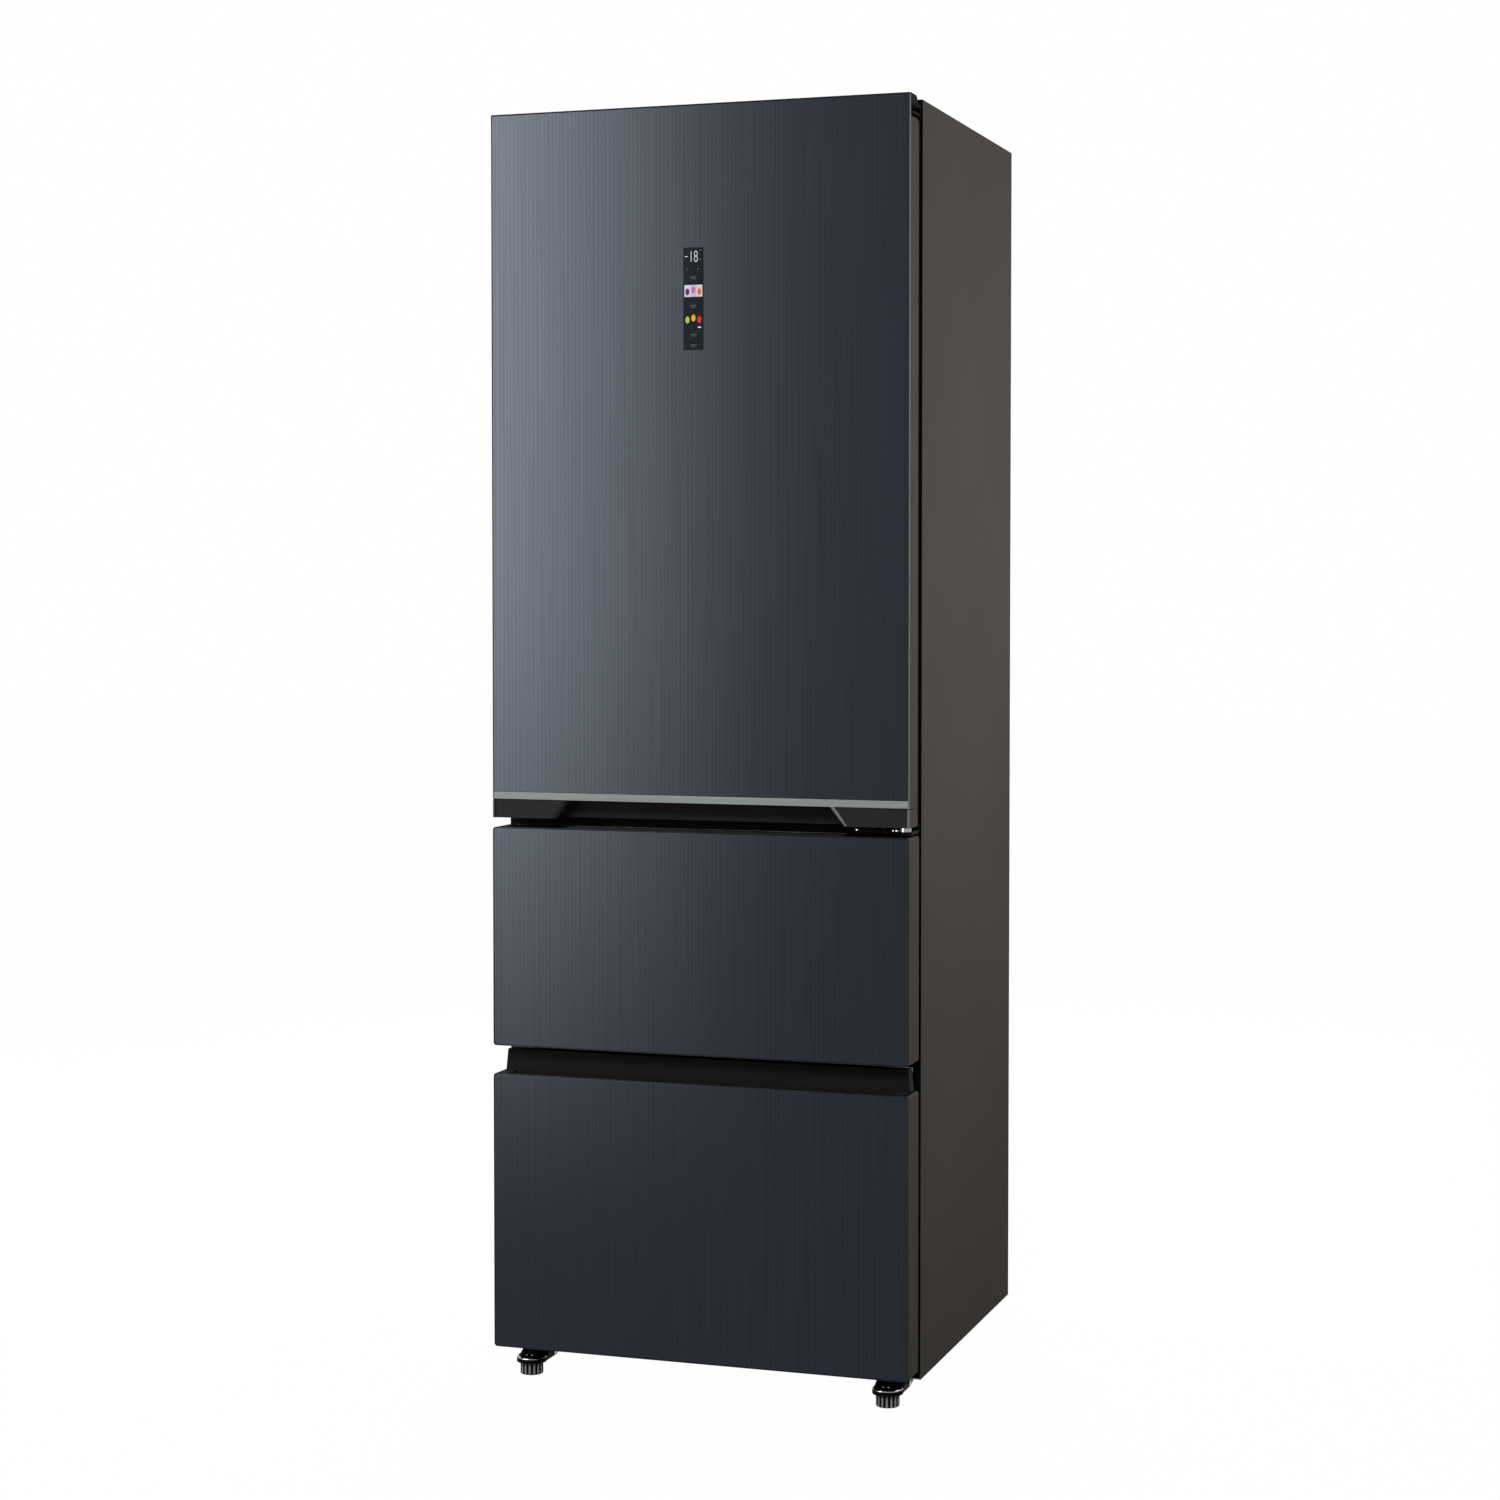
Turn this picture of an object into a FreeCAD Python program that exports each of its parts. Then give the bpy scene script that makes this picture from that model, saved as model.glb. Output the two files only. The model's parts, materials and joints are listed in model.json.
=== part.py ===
import FreeCAD, Part
import os
import re
import Sketcher

# Fridge freezer: a tall glass-fronted door over two glass-fronted drawers, in one steel cabinet.
# Origin on the floor under the middle of the whole box. X to the viewer's right, which is the
# hinge side, Y to the back, Z up. Millimetres.

SIZES = {
    # Whole appliance
    "width": 595,
    "height": 1741,
    "cabinet_depth": 501,
    "door_thickness": 51,
    "door_gap": 11,
    "base_height": 32,
    # Fronts, from the floor up
    "lower_front_bottom": 44,
    "lower_front_height": 381,
    "grip_rise": 30,
    "front_gap": 8.5,
    "middle_front_height": 302.5,
    "hinge_gap": 13,
    "handle_cap_height": 26,
    "trim_height": 10,
    "corner_radius": 3,
    "edge_lip": 1.5,
    "glass_inset": 0.3,
    "glass_thickness": 4,
    "front_wall": 3,
    "inner_panel": 2,
    # Seals
    "seal_margin": 4,
    "gasket_width": 18,
    "seal_land": 2,
    "seal_clearance": 0.3,
    # Cabinet shell
    "skin": 0.8,
    "skin_radius": 1.5,
    "frame_sheet": 1.5,
    "base_sheet": 1.5,
    "bay_plate": 2,
    "cover_sheet": 1.5,
    "liner_wall": 2,
    "side_insulation": 38,
    "top_insulation": 50,
    "back_insulation": 52,
    "machine_height": 218,
    "machine_depth": 170,
    "machine_insulation": 45,
    "vent_bottom": 32,
    "vent_height": 6,
    "vent_pitch": 16,
    "vent_half_width": 90,
    "gland_offset": 180,
    "gland_level": 60,
    "gland_radius": 13,
    "gland_bore": 5,
    "gland_length": 14,
    # Fridge interior
    "crisper_height": 165,
    "crisper_setback": 190,
    "crisper_back_gap": 12,
    "crisper_wall": 2.5,
    "crisper_lip": 12,
    "crisper_lip_height": 26,
    "crisper_headroom": 8,
    "sliding_clearance": 0.3,
    "shelf_spacing": 240,
    "shelf_glass": 4,
    "shelf_setback": 118,
    "shelf_side_gap": 3,
    "shelf_back_gap": 3,
    "shelf_rib_width": 9,
    "shelf_rib_height": 8,
    "shelf_trim_depth": 7,
    "shelf_trim_drop": 6,
    "shelf_trim_rise": 7,
    "duct_half_width": 120,
    "duct_depth": 22,
    "duct_wall": 2,
    "duct_end_gap": 14,
    "duct_slot_half_width": 80,
    "duct_slot_height": 7,
    "lamp_half_width": 110,
    "lamp_setback": 50,
    "lamp_depth": 40,
    "lamp_height": 6,
    # Fridge door
    "profile_wall": 3,
    "profile_radius": 8,
    "cap_height": 13,
    "cap_radius": 4,
    "notch_height": 17,
    "notch_floor": 16,
    "notch_reach": 14,
    "notch_front": 16,
    "handle_block_height": 51,
    "cheek_setback": 2.5,
    "recess_top_half": 187,
    "recess_bottom_half": 206,
    "recess_depth": 36,
    "channel_setback": 12,
    "channel_height": 17,
    "channel_half": 180,
    "display_height": 138,
    "display_drop": 260.5,
    "display_board_width": 36,
    "display_board_depth": 12,
    "display_board_margin": 8,
    "dyke_clearance": 16,
    "dyke_rib": 20,
    "dyke_depth": 60,
    "bin_depth": 104,
    "bin_height": 95,
    "bin_wall": 2.5,
    "bin_spacing": 275,
    "bin_side_gap": 0.5,
    "bin_lug": 8,
    "bin_lug_depth": 40,
    # Door hinges
    "pivot_inset": 12,
    "pivot_setback": 26,
    "pin_radius": 4,
    "running_clearance": 0.05,
    "bush_wall": 3,
    "bush_length": 14,
    "pin_end_gap": 2,
    "collar_radius": 7.5,
    "collar_gap": 0.3,
    "arm_half_width": 9,
    "arm_thickness": 4,
    "arm_lift": 2.5,
    "top_arm_lift": 6,
    "hinge_plate": 3,
    "top_plate_reach": 42,
    "top_plate_margin": 3,
    "middle_arm_reach": 72,
    "middle_arm_shoulder": 14,
    "screw_radius": 2.5,
    "screw_head_radius": 4.2,
    "screw_head": 2.2,
    "screw_length": 14,
    "top_screw_inset": 20,
    "middle_screw_inset": 22,
    "screw_pitch": 16,
    # Drawers
    "rail_height": 46,
    "rail_depth": 13,
    "rail_wall": 1.5,
    "rail_clearance": 0.5,
    "rail_setback": 8,
    "rail_drop": 100,
    "middle_rail_gap": 39,
    "lower_rail_gap": 23,
    "lower_rail_rise": 36,
    "ledge_width": 7.5,
    "ledge_thickness": 4,
    "basket_wall": 2.5,
    "basket_rim": 3,
    "basket_setback": 6,
    "basket_gap": 8,
    "grip_front": 30,
    "grip_groove_front": 7,
    "grip_groove_depth": 20,
    "grip_wall": 3,
    "grip_end": 22,
    "grip_side_inset": 6,
    "grip_slant": 3,
    "grip_end_inset": 8,
    "pull_front": 8,
    "pull_width": 20,
    "pull_depth": 16,
    "pull_half": 200,
    "pull_wall": 6,
    # Cooling
    "evaporator_depth": 56,
    "evaporator_gap": 4,
    "evaporator_left": 205,
    "evaporator_right": 85,
    "evaporator_fin": 1.2,
    "evaporator_tube_radius": 4,
    "fan_offset": 150,
    "fan_radius": 44,
    "fan_hub_radius": 14,
    "fan_hub_length": 18,
    "fan_blade_chord": 22,
    "fan_blade_thickness": 1.8,
    "fan_opening_gap": 4,
    "motor_radius": 20,
    "motor_length": 22,
    "motor_gap": 4,
    "shaft_radius": 2.5,
    "shaft_length": 20,
    "compressor_offset": 90,
    "compressor_radius": 70,
    "compressor_height": 158,
    "compressor_rounding": 26,
    "compressor_foot_length": 190,
    "compressor_foot_width": 110,
    "compressor_foot": 3,
    "grommet_radius": 11,
    "grommet_height": 12,
    "grommet_inset": 14,
    "tray_length": 150,
    "tray_width": 120,
    "tray_height": 22,
    "tray_wall": 2,
    "control_gap": 46.7,
    "control_length": 140,
    "control_depth": 60,
    "control_height": 110,
    # Feet and rollers
    "foot_inset": 39.5,
    "foot_setback": 40,
    "foot_radius": 16,
    "foot_height": 16.7,
    "foot_chamfer": 1,
    "foot_rib_radius": 1.7,
    "stem_radius": 5,
    "stem_top": 39,
    "bracket_radius": 20.5,
    "bracket_plate": 4,
    "bracket_clearance": 0.3,
    "bracket_wall": 3,
    "bracket_flat": 40,
    "bracket_length": 95,
    "roller_radius": 15,
    "roller_width": 18,
    "roller_inset": 68,
    "roller_back": 45,
    "roller_side_gap": 0.5,
    "roller_headroom": 2,
    "axle_radius": 3,
    "ear_wall": 3,
    "ear_reach": 10,
}

# Places worked out from the sizes above
PLACES = {
    "half_width": "width / 2",
    "total_depth": "cabinet_depth + door_gap + door_thickness",
    "front_y": "-total_depth / 2",
    "door_back": "front_y + door_thickness",
    "cabinet_front": "door_back + door_gap",
    "cabinet_back": "total_depth / 2",
    "glass_back": "front_y + glass_inset + glass_thickness",
    "panel_front": "door_back - inner_panel",
    "lower_front_top": "lower_front_bottom + lower_front_height",
    "grip_top": "lower_front_top + grip_rise",
    "middle_bottom": "grip_top + front_gap",
    "middle_top": "middle_bottom + middle_front_height",
    "door_bottom": "middle_top + hinge_gap",
    "seal_reach": "seal_margin + gasket_width + seal_land",
    "inner_half": "half_width - side_insulation - liner_wall",
    "fridge_ceiling": "height - top_insulation - liner_wall",
    "fridge_floor": "door_bottom + seal_reach",
    "middle_ceiling": "middle_top - seal_reach",
    "middle_floor": "middle_bottom + seal_reach",
    "lower_ceiling": "grip_top - seal_reach",
    "lower_floor": "lower_front_bottom + seal_reach",
    "liner_front": "cabinet_front + frame_sheet",
    "liner_back": "cabinet_back - back_insulation - liner_wall",
    "skin_half": "half_width - skin",
    "machine_top": "base_height + machine_height",
    "machine_front": "cabinet_back - machine_depth",
    "step_floor": "machine_top + machine_insulation",
    "step_back": "machine_front - machine_insulation",
    "trim_bottom": "door_bottom + handle_cap_height",
    "trim_top": "trim_bottom + trim_height",
    "handle_block_top": "door_bottom + handle_block_height",
    "cap_bottom": "height - cap_height",
    "notch_bottom": "cap_bottom - notch_height",
    "cap_block_bottom": "notch_bottom - notch_floor",
    "profile_inner": "half_width - profile_wall",
    "glass_half": "half_width - edge_lip",
    "display_centre": "height - display_drop",
    "pivot_x": "half_width - pivot_inset",
    "pivot_y": "front_y + pivot_setback",
    "bush_radius": "pin_radius + bush_wall",
    "middle_arm_bottom": "middle_top + arm_lift",
    "middle_arm_top": "middle_arm_bottom + arm_thickness",
    "top_arm_bottom": "notch_bottom + top_arm_lift",
    "top_arm_top": "top_arm_bottom + arm_thickness",
    "cover_level": "fridge_floor + crisper_height + crisper_headroom",
    "shelf_front": "cabinet_front + shelf_setback",
    "shelf_back": "liner_back - duct_depth - shelf_back_gap",
    "shelf_half": "inner_half - shelf_side_gap",
    "dyke_half": "inner_half - dyke_clearance",
    "dyke_bottom": "fridge_floor + dyke_clearance",
    "dyke_top": "fridge_ceiling - dyke_clearance",
    "bin_half": "dyke_half - dyke_rib - bin_side_gap",
    "bin_level": "dyke_bottom + dyke_rib + bin_lug",
    "rail_step": "rail_wall + rail_clearance",
    "bar_inner": "inner_half - rail_depth",
    "bar_outer": "inner_half - 2 * rail_step",
    "bar_height": "rail_height - 4 * rail_step",
    "basket_half": "bar_inner - ledge_width - rail_clearance",
    "rail_front": "cabinet_front + rail_setback",
    "middle_rail": "middle_ceiling - rail_drop",
    "lower_rail": "step_floor + lower_rail_rise",
    "evaporator_front": "liner_back - evaporator_gap - evaporator_depth",
    "cooler_cover": "evaporator_front - evaporator_gap - liner_wall",
    "middle_rail_back": "liner_back - middle_rail_gap",
    "lower_rail_back": "cooler_cover - lower_rail_gap",
    "fan_level": "(step_floor + lower_ceiling) / 2",
    "fan_y": "liner_back - motor_length - motor_gap - fan_hub_length / 2",
    "compressor_y": "(machine_front + cabinet_back) / 2",
    "compressor_base": "base_height + bay_plate + grommet_height",
    "compressor_top": "compressor_base + compressor_foot + compressor_height",
    "foot_x": "half_width - foot_inset",
    "foot_y": "front_y + foot_setback",
    "bracket_bottom": "foot_height + bracket_clearance",
    "bracket_top": "bracket_bottom + bracket_plate",
    "roller_x": "half_width - roller_inset",
    "roller_y": "cabinet_back - roller_back",
}

SHELF_COUNT = 3
FIN_COUNT = 16
TUBE_ROWS = 3
BLADE_COUNT = 7
BLADE_PITCH_DEG = 35
FOOT_RIBS = 16
VENT_COUNT = 9
DUCT_SLOTS = 5
TOP_SCREWS = 2
MIDDLE_SCREWS = 3

# How near two places, and how parallel two directions, count as the same
SAME_PLACE = 0.01
PARALLEL_RATIO = 0.99

doc = FreeCAD.newDocument("fridge_freezer")
sheet = doc.addObject("Spreadsheet::Sheet", "dim")
for row, (alias, value) in enumerate(SIZES.items(), start=1):
    sheet.set("A%d" % row, alias)
    sheet.set("B%d" % row, str(value))
    sheet.setAlias("B%d" % row, alias)
for row, (alias, formula) in enumerate(PLACES.items(), start=1):
    sheet.set("D%d" % row, alias)
    sheet.set("E%d" % row, "=" + formula)
    sheet.setAlias("E%d" % row, alias)
doc.recompute()

NAMES = set(SIZES) | set(PLACES)
WORD = re.compile(r"[a-z]+(?:_[a-z]+)*")
sub_parts = []


# Expressions and document objects


def bound(text):
    """Expression text with every sheet name written as a cell of the sheet."""
    def as_cell(found):
        word = found.group()
        return "dim." + word if word in NAMES else word
    return WORD.sub(as_cell, text)


def value_of(text):
    """Present value of an expression, for first guesses and for shapes that turn."""
    return float(sheet.evalExpression(bound(text)))


def bind(obj, **expressions):
    """Tie properties of an object to expressions; place_x stands for Placement.Base.x."""
    for key, text in expressions.items():
        path = key.replace("place_", "Placement.Base.")
        obj.setExpression(path, bound(text))


def keep(obj):
    """Mark an object as a finished sub-part, named by its label."""
    sub_parts.append(obj)
    return obj


def box(name, x, y, z):
    """Box between pairs of expressions along X, Y and Z."""
    solid = doc.addObject("Part::Box", name)
    sides = {"Length": x, "Width": y, "Height": z}
    for side, (low, high) in sides.items():
        bind(solid, **{side: "(%s) - (%s)" % (high, low)})
    bind(solid, place_x=x[0], place_y=y[0], place_z=z[0])
    return solid


TURNS = {
    "x": FreeCAD.Rotation(FreeCAD.Vector(0, 1, 0), 90),
    "y": FreeCAD.Rotation(FreeCAD.Vector(1, 0, 0), -90),
    "z": FreeCAD.Rotation(),
}


def cylinder(name, axis, start, radius, length):
    """Round bar from a start point along an axis."""
    bar = doc.addObject("Part::Cylinder", name)
    bar.Placement.Rotation = TURNS[axis]
    bind(bar, Radius=radius, Height=length)
    bind(bar, place_x=start[0], place_y=start[1], place_z=start[2])
    return bar


def join(name, pieces):
    """Several solids made one."""
    whole = doc.addObject("Part::MultiFuse", name)
    whole.Shapes = pieces
    whole.Refine = True
    return whole


def cut(name, base, tools):
    """A solid with one or more tools taken away."""
    result = doc.addObject("Part::Cut", name)
    result.Base = base
    result.Tool = tools[0] if len(tools) == 1 else join(name + "_tools", tools)
    result.Refine = True
    return result


def group(name, pieces):
    """Separate solids that share one node."""
    together = doc.addObject("Part::Compound", name)
    together.Links = pieces
    return together


def mirrored(name, source):
    """Copy of a right-hand piece for the left side."""
    other = doc.addObject("Part::Mirroring", name)
    other.Source = source
    other.Normal = FreeCAD.Vector(1, 0, 0)
    return other


def outline(body, plane, corners):
    """Closed sketch through corners, each a pair of expressions on an origin plane."""
    sketch = body.newObject("Sketcher::SketchObject", body.Name + "_outline")
    planes = [part for part in body.Origin.OriginFeatures if part.Role == plane]
    sketch.AttachmentSupport = [(planes[0], "")]
    sketch.MapMode = "FlatFace"
    points = [FreeCAD.Vector(value_of(u), value_of(v), 0) for u, v in corners]
    count = len(points)
    for at in range(count):
        sketch.addGeometry(Part.LineSegment(points[at], points[(at + 1) % count]), False)
    for at in range(count):
        sketch.addConstraint(Sketcher.Constraint("Coincident", at, 2, (at + 1) % count, 1))
    for at, corner in enumerate(corners):
        for kind, text, guess in zip(("DistanceX", "DistanceY"), corner, points[at]):
            index = sketch.addConstraint(Sketcher.Constraint(kind, -1, 1, at, 1, guess))
            sketch.setExpression("Constraints[%d]" % index, bound(text))
    return sketch


def pad(name, plane, corners, length, start="0"):
    """Body padded from an outline: up from XY, back from XZ, to the right from YZ."""
    body = doc.addObject("PartDesign::Body", name)
    sketch = outline(body, plane, corners)
    feature = body.newObject("PartDesign::Pad", name + "_pad")
    feature.Profile = sketch
    feature.Reversed = plane == "XZ_Plane"
    feature.setExpression("Length", bound(length))
    shift = {"XY_Plane": "place_z", "XZ_Plane": "place_y", "YZ_Plane": "place_x"}[plane]
    bind(body, **{shift: start})
    doc.recompute()
    return body


def fillet(body, radius, wanted):
    """Round the edges of the body's last feature whose middle point and direction are wanted."""
    base = body.Tip
    names = []
    for number, edge in enumerate(base.Shape.Edges, start=1):
        middle = edge.valueAt((edge.FirstParameter + edge.LastParameter) / 2)
        along = edge.tangentAt((edge.FirstParameter + edge.LastParameter) / 2)
        if wanted(middle, along):
            names.append("Edge%d" % number)
    feature = body.newObject("PartDesign::Fillet", body.Name + "_rounding")
    feature.Base = (base, names)
    feature.setExpression("Radius", bound(radius))
    doc.recompute()
    return body


def panel(name, half, y, z, radius):
    """Upright panel centred on X, with its four corners rounded as seen from the front."""
    low, high = z
    corners = [("-(%s)" % half, low), (half, low), (half, high), ("-(%s)" % half, high)]
    body = pad(name, "XZ_Plane", corners, "(%s) - (%s)" % (y[1], y[0]), y[0])
    return fillet(body, radius, lambda middle, along: abs(along.y) > PARALLEL_RATIO)


def ring(name, half, y, z, width):
    """Upright rectangular frame around an opening: the opening's half width and heights are given."""
    low, high = z
    around = ("-(%s) - (%s)" % (half, width), "%s + %s" % (half, width))
    outside = box(name + "_outside", around, y, ("%s - %s" % (low, width), "%s + %s" % (high, width)))
    hole = box(name + "_hole", ("-(%s)" % half, half), y, z)
    return cut(name, outside, [hole])


# Cabinet shell


def liner(name, z, extra_outer=None, extra_inner=None):
    """Open-fronted plastic tub and its outer form, which the insulation follows."""
    low, high = z
    outer_half = "inner_half + liner_wall"
    back = "liner_back" if extra_outer is None else "step_back"
    outers = [box(name + "_outer", ("-(%s)" % outer_half, outer_half),
                  ("liner_front", back + " + liner_wall"),
                  (low + " - liner_wall", high + " + liner_wall"))]
    inners = [box(name + "_inner", ("-inner_half", "inner_half"), ("cabinet_front", back), z)]
    if extra_outer is not None:
        outers.append(extra_outer)
        inners.append(extra_inner)
    return outers, inners


def build_shell():
    wrapper = pad("cabinet_wrapper", "XZ_Plane", [
        ("-half_width", "base_height"), ("-skin_half", "base_height"),
        ("-skin_half", "height - skin"), ("skin_half", "height - skin"),
        ("skin_half", "base_height"), ("half_width", "base_height"),
        ("half_width", "height"), ("-half_width", "height"),
    ], "cabinet_depth", "cabinet_front")
    top = value_of("height")
    side = value_of("half_width")
    fillet(wrapper, "skin_radius",
           lambda middle, along: abs(middle.z - top) < SAME_PLACE
           and abs(abs(middle.x) - side) < SAME_PLACE and abs(along.y) > PARALLEL_RATIO)
    keep(wrapper)

    inside = ("-skin_half", "skin_half")
    keep(box("rear_panel", inside, ("cabinet_back - skin", "cabinet_back"),
             ("machine_top + base_sheet", "height - skin")))


def build_front_frame_and_foam(hinge_holes):
    inside = ("-skin_half", "skin_half")
    plate = box("front_frame_plate", inside, ("cabinet_front", "liner_front"),
                ("base_height + base_sheet", "height - skin"))
    openings = []
    for name, low, high in (("fridge", "fridge_floor", "fridge_ceiling"),
                            ("middle", "middle_floor", "middle_ceiling"),
                            ("lower", "lower_floor", "lower_ceiling")):
        openings.append(box(name + "_opening", ("-inner_half", "inner_half"),
                            ("cabinet_front", "liner_front"), (low, high)))
    keep(cut("front_frame", plate, openings + hinge_holes))

    fridge_outer, fridge_inner = liner("fridge_liner", ("fridge_floor", "fridge_ceiling"))
    ribs = []
    for level in range(SHELF_COUNT):
        height = "cover_level + %d * shelf_spacing" % level
        for side, x in (("left", ("-inner_half", "-inner_half + shelf_rib_width")),
                        ("right", ("inner_half - shelf_rib_width", "inner_half"))):
            ribs.append(box("shelf_rib_%s_%d" % (side, level), x, ("shelf_front", "shelf_back"),
                            (height + " - shelf_rib_height", height)))
    tub = cut("fridge_tub", fridge_outer[0], fridge_inner)
    keep(join("fridge_liner", [tub] + ribs))

    middle_outer, middle_inner = liner("middle_liner", ("middle_floor", "middle_ceiling"))
    keep(cut("middle_liner", middle_outer[0], middle_inner))

    over_outer = box("lower_liner_over_outer", ("-inner_half - liner_wall", "inner_half + liner_wall"),
                     ("liner_front", "liner_back + liner_wall"),
                     ("step_floor - liner_wall", "lower_ceiling + liner_wall"))
    over_inner = box("lower_liner_over_inner", ("-inner_half", "inner_half"),
                     ("cabinet_front", "liner_back"), ("step_floor", "lower_ceiling"))
    lower_outer, lower_inner = liner("lower_liner", ("lower_floor", "lower_ceiling"),
                                     over_outer, over_inner)
    keep(cut("lower_liner", join("lower_liner_form", lower_outer), lower_inner))

    block = box("foam_block", inside, ("liner_front", "cabinet_back - skin"),
                ("base_height + base_sheet", "height - skin"))
    bay = box("foam_bay", inside, ("machine_front - base_sheet", "cabinet_back"),
              ("base_height", "machine_top + base_sheet"))
    tools = fridge_outer + middle_outer + lower_outer + [bay] + hinge_holes
    keep(cut("insulation_foam", block, tools))


def build_fridge_interior():
    across = ("-shelf_half", "shelf_half")
    plates, trims = [], []
    for level in range(SHELF_COUNT):
        height = "cover_level + %d * shelf_spacing" % level
        plates.append(box("shelf_plate_%d" % level, across, ("shelf_front", "shelf_back"),
                          (height, height + " + shelf_glass")))
        trims.append(box("shelf_trim_%d" % level, across,
                         ("shelf_front - shelf_trim_depth", "shelf_front"),
                         (height + " - shelf_trim_drop", height + " + shelf_trim_rise")))
    keep(group("shelf_glasses", plates))
    keep(group("shelf_trims", trims))

    half = "inner_half - shelf_rib_width - shelf_side_gap"
    front = "cabinet_front + crisper_setback"
    back = "liner_back - crisper_back_gap"
    low = "fridge_floor + sliding_clearance"
    high = "fridge_floor + crisper_height"
    tub = box("crisper_tub", ("-(%s)" % half, half), (front, back), (low, high))
    lip = box("crisper_pull", ("-(%s)" % half, half), (front + " - crisper_lip", front),
              (high + " - crisper_lip_height", high))
    hollow = box("crisper_hollow", ("-(%s) + crisper_wall" % half, half + " - crisper_wall"),
                 (front + " + crisper_wall", back + " - crisper_wall"), (low + " + crisper_wall", high))
    finger = box("crisper_finger", ("-(%s) + crisper_wall" % half, half + " - crisper_wall"),
                 (front + " - crisper_lip + crisper_wall", front),
                 (high + " - crisper_lip_height", high + " - crisper_wall"))
    keep(cut("crisper", join("crisper_form", [tub, lip]), [hollow, finger]))

    duct_low = "cover_level + duct_end_gap"
    duct_high = "fridge_ceiling - duct_end_gap"
    shell = box("duct_shell", ("-duct_half_width", "duct_half_width"),
                ("liner_back - duct_depth", "liner_back"), (duct_low, duct_high))
    tools = [box("duct_hollow", ("-duct_half_width + duct_wall", "duct_half_width - duct_wall"),
                 ("liner_back - duct_depth + duct_wall", "liner_back"),
                 (duct_low + " + duct_wall", duct_high + " - duct_wall"))]
    for at in range(DUCT_SLOTS):
        level = "%s + (%s - (%s)) * %d / %d" % (duct_low, duct_high, duct_low, at + 1, DUCT_SLOTS + 1)
        tools.append(box("duct_slot_%d" % at, ("-duct_slot_half_width", "duct_slot_half_width"),
                         ("liner_back - duct_depth", "liner_back - duct_depth + duct_wall"),
                         (level, level + " + duct_slot_height")))
    keep(cut("air_duct_cover", shell, tools))

    keep(box("fridge_lamp", ("-lamp_half_width", "lamp_half_width"),
             ("cabinet_front + lamp_setback", "cabinet_front + lamp_setback + lamp_depth"),
             ("fridge_ceiling - lamp_height", "fridge_ceiling")))


# Cooling


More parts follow.
